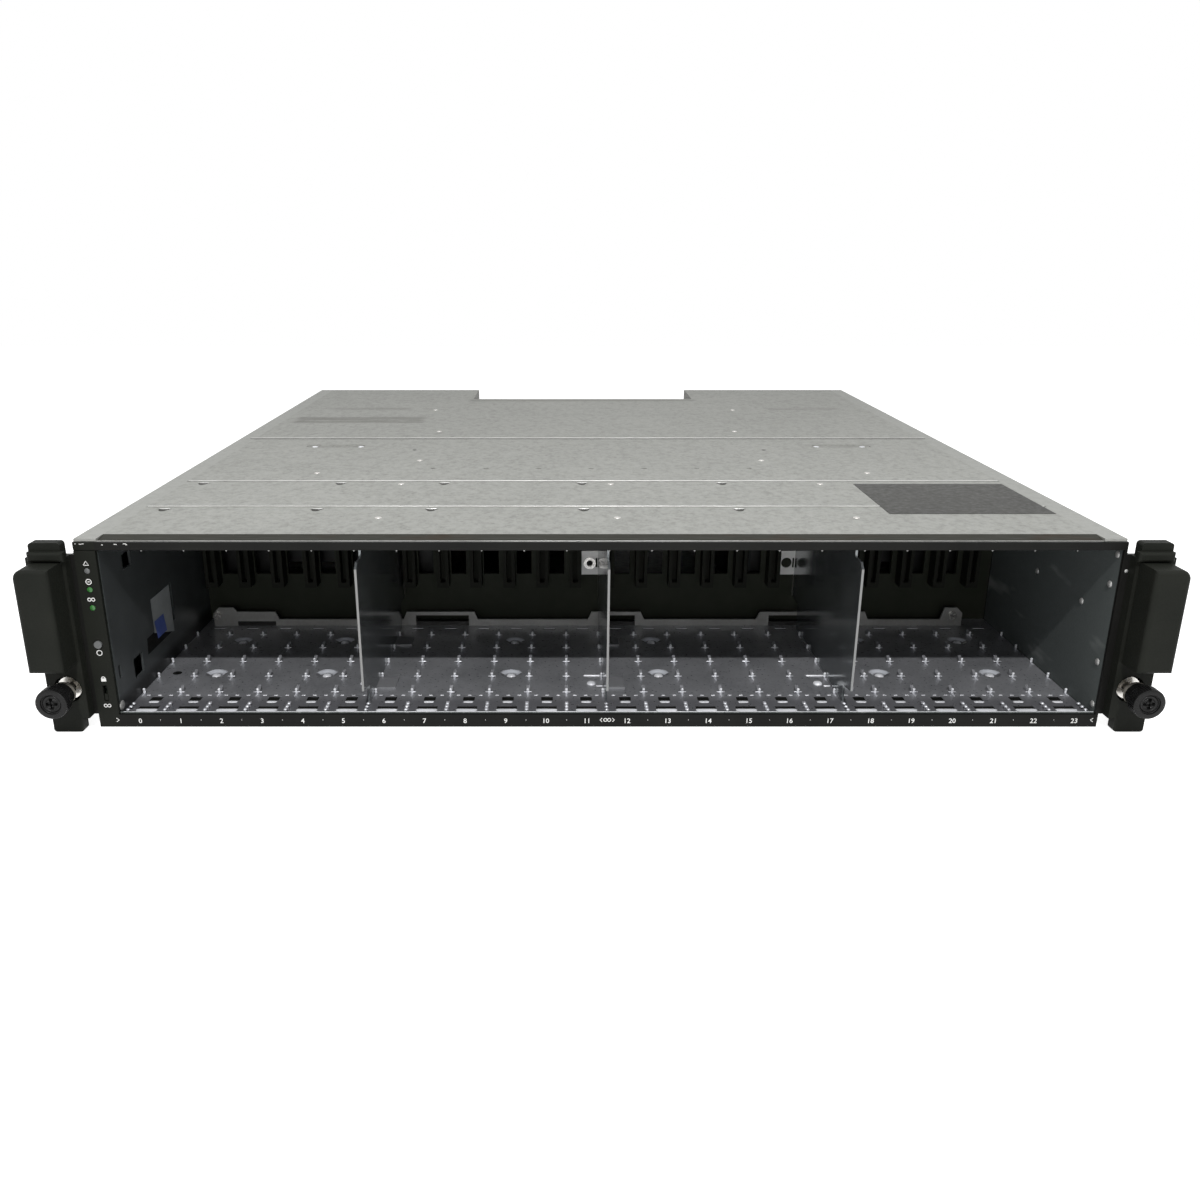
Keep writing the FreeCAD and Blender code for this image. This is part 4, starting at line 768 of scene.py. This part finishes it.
def addLanceTicks():  # upright rods of painted highlight with a knob, a crossbar and a rod of painted reflection ahead of each, also beside the walls and dividers
    p = ticks
    besideWalls = np.concatenate((slotEdge(p["rightOf"]) + p["inset"], slotEdge(p["leftOf"]) - p["inset"]))
    columns = (slotEdge(plainEdges), besideWalls)
    plain, beside = (grid3(xs, lanceRows, bayFloor) + (0, p["shift"], 0) for xs in columns)
    feet = np.concatenate((plain, beside))
    posts = rods(feet, feet + (0, 0, p["rise"]), (1, 0, 0), p["wide"], p["high"])
    dome = domeProfile(p["knob"], p["knob"], rings=3)
    knobs = turned(feet + (0, 0, p["rise"] - p["knob"]), dome, "up", fewSides)
    addPiece("lance_ticks", [posts, knobs], highlightSteel)
    lift, thin = (0, 0, p["barLevel"]), p["barRadius"]
    grids = [bars(plain + lift, p["barLength"], thin, thin), bars(beside + lift, p["shortBar"], thin, thin),
             rods(feet - (0, p["reflectionReach"], 0), feet, (1, 0, 0), p["reflectionWide"], p["reflectionHigh"])]
    addPiece("lance_bars", grids, glintSteel)


beads = dict(rows=(5.9, 9.2, 12.6), level=1.0, radius=0.9, height=0.75, inset=1.6,
             upperRow=3.6, upperRadius=0.6, upperDrop=1.62)


def addBeads():  # small domes on the front teeth of the floor, and under the upper guide plate
    p = beads
    inner = slotEdge(range(1, slotCount))
    columns = np.concatenate((inner, (slotEdge(0) + p["inset"], slotEdge(slotCount) - p["inset"])))
    dome = domeProfile(p["radius"], p["height"], rings=3)
    grid = turned(grid3(columns, p["rows"], bayFloor + p["level"]), dome, "up", fewSides)
    addPiece("lance_beads", [grid], glintSteel)
    dome = domeProfile(p["upperRadius"], p["upperDrop"], rings=3)
    grid = turned(grid3(inner, (p["upperRow"],), bayCeiling), dome, "down", fewSides)
    addPiece("upper_beads", [grid], rivetSteel)


windowShades = dict(sink=0.25, outlines=(  # half width, front, rear
    (4.6, 9.0, 12.3), (2.7, 18.1, 22.8), (3.4, 113.0, 114.4)))


def addWindowFills():  # black rectangles of painted shade under the latch windows
    middles = slotMiddles[:, None, None]
    grids = []
    for half, front, rear in windowShades["outlines"]:
        x, y = np.meshgrid((-half, half), (front, rear))
        level = np.full((slotCount, 2, 2), bayFloor - windowShades["sink"])
        grids.append(np.stack((middles + x, y + 0 * middles, level), axis=-1))
    addPiece("window_shades", grids, blackPaintAndShade, wrap=False)


holeShades = dict(slots=(6, 12), shift=-5.0, row=128.5, level=37.9, radius=1.7, skin=0.05,
                 floorSpot=(-206.0, 51.2), floorRadius=2.2)


def addDarkHoles():  # low domes of painted shade for the sockets of the tab screws and a small round hole in the floor
    p = holeShades
    spots = [(slotEdge(n) + p["shift"], p["row"], p["level"]) for n in p["slots"]]
    sockets = turned(spots, domeProfile(p["radius"], p["skin"], rings=2), "front", manySides)
    dome = domeProfile(p["floorRadius"], p["skin"], rings=2)
    hole = turned([(*p["floorSpot"], bayFloor)], dome, "up", manySides)
    addPiece("hole_shades", [sockets, hole], blackPaintAndShade)


dimples = dict(slots=(1.5, 4.5, 9.5, 13.5, 19.5, 22.5), radius=5.3, depth=1.5, flat=1.8, power=2.0, lift=0.03,
               rivet=2.2, rise=1.2)
channels = dict(row=46.95, halfLength=9.9, halfWidth=2.4, depth=0.05, flat=0.6, power=6.0)
pills = dict(middle=40.6, rimGap=0.6, reach=9.2, halfY=7.0, bead=0.55, arcShift=(-2.4, -5.4, 0),
             arcLength=3.4, arcFlat=0.6, rivetShift=(-6.2, -2.6, 0))


def dishGrid(centres, halfX, halfY, depth, flat, power, sides=32, rings=9):
    # share of the way out is s, so the level falls as a half cosine from the rim to the flat middle
    share = np.linspace(1.0, 0.0, rings)[:, None]
    angle = roundAngles(sides)[None]
    reach = share * boxyReach(angle, power)
    fall = np.clip((1 - share) / (1 - flat), 0, 1)
    level = dimples["lift"] - depth * (0.5 - 0.5 * np.cos(math.pi * fall)) + 0 * angle
    one = np.stack((halfX * reach * np.cos(angle), halfY * reach * np.sin(angle), level), axis=-1)
    return np.asarray(centres, float)[:, None, None, :] + one


def addPills():  # rear rim, a short front rod and a rivet on the left of each divider, all in painted highlight
    p = pills
    centres = grid3(slotEdge(dividerSlots), (p["middle"],), bayFloor)
    rims = bars(centres + (-p["rimGap"] - p["reach"] / 2, p["halfY"], 0), p["reach"], p["bead"], p["bead"])
    arcs = bars(centres + p["arcShift"], p["arcLength"], p["bead"], p["bead"] * p["arcFlat"])
    dome = domeProfile(dimples["rivet"], dimples["rise"])
    rivets = turned(centres + p["rivetShift"], dome, "up", someSides)
    addPiece("floor_pills", [rims, arcs, rivets], highlightSteel)


def addDimples():  # linings of the round dishes with painted highlight and shade, a rivet in painted highlight in each, and covers of the channels by the dividers
    p, c = dimples, channels
    centres = grid3(slotEdge(p["slots"]), dimpleRows, bayFloor)
    dishes = dishGrid(centres, p["radius"], p["radius"], p["depth"], p["flat"] / p["radius"], p["power"])
    middles = grid3(slotEdge(dividerSlots), (c["row"],), bayFloor)
    covers = dishGrid(middles, c["halfLength"], c["halfWidth"], c["depth"], c["flat"], c["power"])
    addPiece("floor_dishes", [dishes], dishLitAndShaded, solid=False)
    addPiece("channel_covers", [covers], floorZinc, solid=False)
    rivets = turned(centres - (0, 0, p["depth"]), domeProfile(p["rivet"], p["rise"]), "up", someSides)
    addPiece("dimple_rivets", [rivets], highlightSteel)


addFloorLips()
addLanceTicks()
addBeads()
addWindowFills()
addDarkHoles()
addPills()
addDimples()
print("bay floor dressed")

# top: domed rivets, painted highlights along the pressed lines, seam and front margin, and painted shade in
# the dents and along the seam

topRivets = dict(radius=1.6, rise=0.4, dividerShift=5.0, dividerRows=(37.7, 108.6),
                 pairs=((98.5, 171.4), (98.5, 270.5), (112.0, 366.0), (150.0, 136.4)))
seats = dict(columns=((0.62, 2.4), (0.78, -4.8)),  # share of the half width, and shift
             row=0.889, sink=0.48, radius=1.8, rise=0.5)  # row is a share of the way to the seam


def addTopRivets():  # domes beside the dividers, in pairs over the top, and in painted highlight in the pressed seats
    p, s = topRivets, seats
    spots = [(slotEdge(n) + p["dividerShift"], y, topFace) for n in dividerSlots for y in p["dividerRows"]]
    spots += [(side * x, y, topFace) for side in (-1, 1) for x, y in p["pairs"]]
    domes = turned(spots, domeProfile(p["radius"], p["rise"]), "up", manySides)
    rivets = addPiece("rivet_domes", [domes], nickelPlate)
    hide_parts("cover_rivets")
    columns = [side * (coverHigh[0] * share + shift) for side in (-1, 1) for share, shift in s["columns"]]
    spots = grid3(columns, (seamRow * s["row"],), topFace - s["sink"])
    domes = turned(spots, domeProfile(s["radius"], s["rise"]), "up", someSides)
    addPiece("seat_domes", [domes], highlightSteel)


lineLips = dict(radius=0.28, shift=1.1, sink=0.1)
dents = dict(columns=(-203.4, -131.7, -77.7, -6.0, 67.0), inset=4.2, lip=5.2, half=2.5, deep=5.2, core=0.15,
             lift=0.02)


def crescents(centres):  # half-moons on the top: between two half ellipses that meet at their ends
    angle = np.linspace(math.pi, 2 * math.pi, 13)
    share = np.array((dents["core"], 1.0))[:, None]
    across = dents["half"] * np.cos(angle) + 0 * share
    along = dents["deep"] * share * np.sin(angle)
    one = np.stack((across, along, 0 * along), axis=-1)
    return np.asarray(centres, float)[:, None, None, :] + one.transpose(1, 0, 2)


def addPressedLines():  # a thin rod of painted highlight behind each line, and a short one with a half-moon of painted shade at each dent
    thick, level = lineLips["radius"], topFace - lineLips["sink"]
    lines = grid3((0.0,), [y + lineLips["shift"] for y in pressedLines], level)
    rows = [y - dents["inset"] for y in pressedLines]
    grids = [bars(lines, hemHalf * 2, thick, thick),
             bars(grid3(dents["columns"], rows, level), dents["lip"], thick, thick)]
    addPiece("pressed_lips", grids, paleChipsAndHighlight)
    shades = crescents(grid3(dents["columns"], rows, topFace + dents["lift"]))
    addPiece("dent_shades", [shades], seamShade, wrap=False)


seam = dict(shift=-0.9, sink=0.02, wide=1.5, high=0.08, inset=12.0, ridgeShift=(0.0, 2.6, -0.05),
            dotColumns=(-106.0, 106.0), dotRow=204.0, dotRadius=1.4, dotRise=0.06)
marginEdges = dict(radius=0.14, sink=0.15, edgeRow=1.9, edgeDrop=1.05)


def addSeam():  # a flat rod of painted shade along the seam, two dark dots ahead of it, and thin rods of painted highlight along the edges of the margin and behind the seam
    p, m, thick = seam, marginEdges, lineLips["radius"]
    middle = (0.0, seamRow + p["shift"], topFace - p["sink"])
    length = coverHigh[0] * 2 - p["inset"]
    dome = domeProfile(p["dotRadius"], p["dotRise"], rings=2)
    dots = turned(grid3(p["dotColumns"], (p["dotRow"],), topFace), dome, "up")
    addPiece("seam_shade", [bars((middle,), length, p["wide"], p["high"]), dots], seamShade)
    rows = ((0.0, marginRow, topFace - m["sink"]), (0.0, m["edgeRow"], topFace - m["edgeDrop"]))
    ridge = np.add(middle, p["ridgeShift"])
    rims = [bars(rows, hemHalf * 2, m["radius"], m["radius"]), bars((ridge,), length, thick, thick)]
    addPiece("margin_edges", rims, paleChipsAndHighlight)


addTopRivets()
addPressedLines()
addSeam()
print("top dressed")

# thumbscrews: a ridged black grip with a ringed face and cross recess, and a bright stem with the thread

knob = dict(
    grip=5.6, sink=0.75, ridges=40, ridgeDepth=0.3, ridgeSlack=0.05, sides=120, crease=30.0,
    crossHalf=0.7, crossReach=2.4, crossDepth=1.4, crossLevel=1.5,
    ringShare=0.64, ringCount=25, ringWave=0.2, ringTurn=4.6,
    rimShare=0.66, rim=((0.7, 0.0), (0.2, 0.25), (0.0, 0.8)), flankFront=0.9, flankRear=0.4, flankCount=6,
    heel=0.4, skirt=5.0,
)
stem = dict(
    length=7.4, radius=5.3, slack=0.15, overlap=0.2, chamfer=0.4, neck=1.9,
    thread=7.7, threadRadius=2.4, threadSlack=0.1, threadDepth=0.32, pitch=0.8, step=0.1,
    point=0.7, pointRadius=1.7,
)


def screwGrid(x, z, stations, shape):  # stations of (radius, y) turned about the axis, then carved by shape
    angle = roundAngles(knob["sides"])[None]
    r, y = (column[:, None] + 0 * angle for column in np.array(stations).T)
    r, y = shape(r, y, angle + 0 * r)
    return np.stack((x + r * np.cos(angle), y, z + r * np.sin(angle)), axis=-1)[None]


def addThumbscrew(side):
    node = side + "_thumbscrew"
    low, high = boxOf(node)
    x, z = (low[0] + high[0]) / 2, (low[2] + high[2]) / 2
    radius, face, tip = (high[0] - low[0]) / 2, low[1], high[1]
    back = face + knob["grip"]
    skirt = back + knob["skirt"]
    end = back + stem["length"]
    thread = tip - stem["thread"]

    def carveGrip(r, y, angle):  # ridges of squared cosine waves round the side, and a cross sunk in the face
        onSide = (r > radius - knob["ridgeSlack"]) & (y > face + knob["sink"])
        r = r - onSide * knob["ridgeDepth"] * (0.5 + 0.5 * np.cos(knob["ridges"] * angle)) ** 2
        across, up = abs(r * np.cos(angle)), abs(r * np.sin(angle))
        narrow = np.minimum(across, up) < knob["crossHalf"]
        near = (np.maximum(across, up) < knob["crossReach"]) & (y < face + knob["crossLevel"])
        return r, y + (narrow & near) * knob["crossDepth"]

    def carveThread(r, y, angle):  # a helix, one turn per pitch
        onThread = (y > thread) & (r > stem["threadRadius"] - stem["threadSlack"])
        wave = 0.5 + 0.5 * np.cos(2 * math.pi * y / stem["pitch"] - angle)
        return r - onThread * stem["threadDepth"] * wave, y

    rings = np.linspace(0, radius * knob["ringShare"], knob["ringCount"])
    stations = [(r, face + knob["sink"] + knob["ringWave"] * math.cos(r * knob["ringTurn"])) for r in rings]
    stations += [(radius * knob["rimShare"], face)]
    stations += [(radius - inset, face + depth) for inset, depth in knob["rim"]]
    flank = np.linspace(face + knob["flankFront"], back - knob["flankRear"], knob["flankCount"])
    stations += [(radius, y) for y in flank]
    stations += [(radius - knob["heel"], back), (stem["radius"], back), (stem["radius"], skirt), (0.0, skirt)]
    grip = screwGrid(x, z, stations, carveGrip)
    wide, start = stem["radius"] - stem["slack"], skirt - stem["overlap"]
    stations = [(0.0, start), (wide, start), (wide, end - stem["chamfer"]), (wide - stem["chamfer"], end)]
    stations += [(stem["neck"], end), (stem["neck"], thread)]
    stations += [(stem["threadRadius"], y) for y in np.arange(thread, tip - stem["point"], stem["step"])]
    stations += [(stem["pointRadius"], tip), (0.0, tip)]
    body = side + "_screw"
    gripPiece = addPiece(side + "_grip", [grip], gripBlack, body, knob["crease"])
    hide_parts(node)
    shank = screwGrid(x, z, stations, carveThread)
    addPiece(side + "_stem", [shank], stemSteel, body, knob["crease"])


for side in ("left", "right"):
    addThumbscrew(side)
print("thumbscrews made")

# bay walls: rivets, a small screw, and the film with its pull tab in the window, over a patch of painted
# shade

wallParts = dict(rivet=1.6, rise=0.8, screw=2.4, screwShift=-0.2, screwRow=4.6, screwLevel=8.6,
                 rightFace=221.8, rightRivets=((7, 65), (6, 29), (28, 50), (75, 50), (5, 79), (4, 9.5)),
                 postHead=(223.9, 0.0, 73.0), postRadius=0.8, postRise=0.4)


def addWallDetail():  # domes on the right wall, on the left wall's screw and beside the right post
    p = wallParts
    spots = [(p["rightFace"], y, z) for y, z in p["rightRivets"]]
    screw = [(bayLeft + p["screwShift"], p["screwRow"], p["screwLevel"])]
    grids = [turned(spots, domeProfile(p["rivet"], p["rise"]), "left"),
             turned(screw, domeProfile(p["screw"], p["rise"]), "right", someSides),
             turned([p["postHead"]], domeProfile(p["postRadius"], p["postRise"]), "front")]
    addPiece("wall_rivets", grids, rivetSteel)


windowParts = dict(x=-213.7, front=49.0, rear=73.5, high=43.5, frontFoot=26.4, rearFoot=18.4, bow=0.12,
                   tab=(50.0, 62.0), tabLow=23.2, tabHigh=32.0, tabX=-213.1, curl=0.35, shadeX=-213.85,
                   shadeFronts=(39.0, 40.0, 49.0, 49.0), shadeLevels=(19.2, 26.8, 27.0, 43.5))


def addWindow():  # a black patch of painted shade where the opening runs on below the sheet, a sheet bowed by a half sine and a tab curled by a half cosine
    p = windowParts
    y, share = np.meshgrid(np.linspace(p["front"], p["rear"], 9), np.linspace(0, 1, 5))
    along = (y - p["front"]) / (p["rear"] - p["front"])
    edge, level = (np.array(p[key])[:, None] for key in ("shadeFronts", "shadeLevels"))  # wider at its foot
    gapShade = np.stack(np.broadcast_arrays(p["shadeX"], edge + along[0] * (p["rear"] - edge), level), axis=-1)
    addPiece("window_shade_patch", [gapShade[None]], blackPaintAndShade, wrap=False)
    foot = p["frontFoot"] + along * (p["rearFoot"] - p["frontFoot"])  # lower edge runs down toward the rear
    x = p["x"] + p["bow"] * np.sin(along * math.pi)
    sheet = np.stack((x, y, foot + share * (p["high"] - foot)), axis=-1)
    addPiece("window_sheet", [sheet[None]], windowGrey, wrap=False)
    y, z = np.meshgrid(np.linspace(*p["tab"], 9), np.linspace(p["tabLow"], p["tabHigh"], 9))
    x = p["tabX"] + p["curl"] * np.cos((z - p["tabLow"]) / (p["tabHigh"] - p["tabLow"]) * math.pi)
    addPiece("pull_tab", [np.stack((x, y, z), axis=-1)[None]], blueFilm, wrap=False)


chips = dict(count=7, left=-222.0, right=-196.0, crowd=1.8, seed=7, drop=0.5, scatter=0.7, shortest=0.3,
             longer=1.1, lean=0.5, sag=0.2, thick=0.05, wide=0.22)


def addChips():  # thin rods for flakes of paint off the panel's top edge, more of them to the left
    p = chips
    random, none = np.random.default_rng(p["seed"]), np.zeros(p["count"])
    x = p["left"] + (p["right"] - p["left"]) * random.random(p["count"]) ** p["crowd"]
    z = panelHigh[2] - p["drop"] - p["scatter"] * random.random(p["count"])
    length = p["shortest"] + p["longer"] * random.random(p["count"])
    climb = p["lean"] * random.random(p["count"]) - p["sag"]
    starts, line = np.stack((x, none, z), axis=1), np.stack((length, none, climb), axis=1)
    flakes = rods(starts, starts + line, (0, 1, 0), p["thick"], p["wide"])
    addPiece("paint_chips", [flakes], paleChipsAndHighlight)


addWallDetail()
addWindow()
addChips()
print("bay walls dressed")

# rear: moulded handles, cross-head screws and status lamps on the modules, and heads along the sides

handle = dict(bar=2.95, corner=9.0, cornerSteps=9, barSteps=60, power=3.5, sides=24, ribPitch=3.2,
              ribDepth=0.3, ribInset=4.0, crease=50.0)
screwHead = dict(radius=2.5, rise=0.9, crown=0.8, inset=5.0, cross=0.2, reach=0.62, sink=0.55)
rearFaces = dict(power=481.5, controller=425.5)
rearLamp = dict(radius=1.4, rise=0.6, powerX=103.4, powerZ=38.8, controllerX=70.0, controllerZ=11.0)
sideHeads = dict(rows=(60.0, 150.0, 240.0, 330.0, 420.0), levels=(12.0, 76.0), radius=2.0, rise=0.4,
                 wall=223.0)
earHeads = dict(row=18.0, levels=(14.0, 43.4, 72.6), face=224.5)


def crossHeads(centres, toward, sides=32, rings=12):  # low domes, rise sqrt(1 - crown s^2), cross sunk in
    p = screwHead
    radius, rise = p["radius"], p["rise"]
    across, along, axis = (np.array(v, float) for v in directions[toward])
    angle = roundAngles(sides)[None]
    share = np.linspace(0, 1, rings)
    level = np.append(rise * np.sqrt(1 - p["crown"] * share ** 2), (0.0, 0.0))[:, None]
    reach = radius * np.append(share, (1.0, 0.0))[:, None]
    u, v = reach * np.cos(angle), reach * np.sin(angle)
    narrow = np.minimum(abs(u), abs(v)) < p["cross"] * radius
    sunk = narrow & (np.maximum(abs(u), abs(v)) < p["reach"] * radius) & (level > 0)
    level = level - p["sink"] * rise * sunk
    ring = u[..., None] * across + v[..., None] * along
    return np.asarray(centres, float)[:, None, None, :] + ring + level[..., None] * axis


def addHandle(side):  # a boxy bar along a path with two round corners, ribbed where the fingers go
    p = handle
    low, high = boxOf(side + "_psu_handle")
    x, bar, corner = (low[0] + high[0]) / 2, p["bar"], p["corner"]
    rear, foot, head = high[1] - bar, low[2] + bar, high[2] - bar
    turn = np.linspace(0, math.pi / 2, p["cornerSteps"])
    lower = np.stack((rear - corner + corner * np.sin(turn), foot + corner - corner * np.cos(turn)), axis=1)
    upper = np.stack((rear - corner + corner * np.cos(turn), head - corner + corner * np.sin(turn)), axis=1)
    level = np.linspace(foot + corner, head - corner, p["barSteps"])[1:-1]
    middle = np.stack((np.full(level.size, rear), level), axis=1)
    path = np.concatenate((((low[1], foot),), lower, middle, upper, ((low[1], head),)))
    step = np.gradient(path, axis=0)
    step /= np.linalg.norm(step, axis=1, keepdims=True)
    ribbed = abs(path[:, 1] - (foot + head) / 2) < (head - foot) / 2 - corner - p["ribInset"]
    wave = 0.5 + 0.5 * np.cos(2 * math.pi * path[:, 1] / p["ribPitch"])
    angle = roundAngles(p["sides"])[None]
    radius = (bar - p["ribDepth"] * ribbed * wave)[:, None] * boxyReach(angle, p["power"])
    radius = np.concatenate((0 * radius[:1], radius, 0 * radius[-1:]))  # closed at both feet
    path, step = (np.concatenate((a[:1], a, a[-1:])) for a in (path, step))
    out = radius * np.sin(angle)
    y, z = path[:, :1] + out * step[:, 1:], path[:, 1:] - out * step[:, :1]
    grid = np.stack((x + radius * np.cos(angle), y, z), axis=-1)[None]
    body = side + "_power_module"
    piece = addPiece(side + "_handle", [grid], blackPlastic, body, p["crease"])
    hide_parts(side + "_psu_handle")


def addFaceParts(name, body, spots, lens):  # cross-head screws and a domed lamp on a module's rear face
    addPiece(name + "_screws", [crossHeads(spots, "rear")], rivetSteel, body)
    dome = turned([lens], domeProfile(rearLamp["radius"], rearLamp["rise"]), "rear", manySides)
    addPiece(name + "_lamp", [dome], greenLens, body)


def addPowerFace(side):
    low, high = boxOf(side + "_psu_faceplate")
    edge, face = screwHead["inset"], rearFaces["power"]
    spots = [(x, face, z) for x in (low[0] + edge, high[0] - edge) for z in (low[2] + edge, high[2] - edge)]
    lens = (low[0] + rearLamp["powerX"], face, rearLamp["powerZ"])
    addFaceParts(side + "_power", side + "_power_module", spots, lens)


def addControllerFace(level):
    low, high = boxOf(level + "_controller_case")
    edge, face = screwHead["inset"], rearFaces["controller"]
    spots = [(x, face, low[2] + edge) for x in (low[0] + edge, high[0] - edge)]
    lens = (rearLamp["controllerX"], face, low[2] + rearLamp["controllerZ"])
    addFaceParts(level + "_controller", level + "_controller", spots, lens)


def addSideHeads():  # low domes along both sides, and cross-head screws at the ears
    p, grids = sideHeads, []
    for side, toward in ((-1, "left"), (1, "right")):
        spots = [(side * p["wall"], y, z) for y in p["rows"] for z in p["levels"]]
        grids.append(turned(spots, domeProfile(p["radius"], p["rise"]), toward, manySides))
        spots = [(side * earHeads["face"], earHeads["row"], z) for z in earHeads["levels"]]
        grids.append(crossHeads(spots, toward))
    addPiece("side_heads", grids, rivetSteel)


for side in ("left", "right"):
    addHandle(side)
    addPowerFace(side)
for level in ("lower", "upper"):
    addControllerFace(level)
addSideHeads()
print("rear and sides dressed")
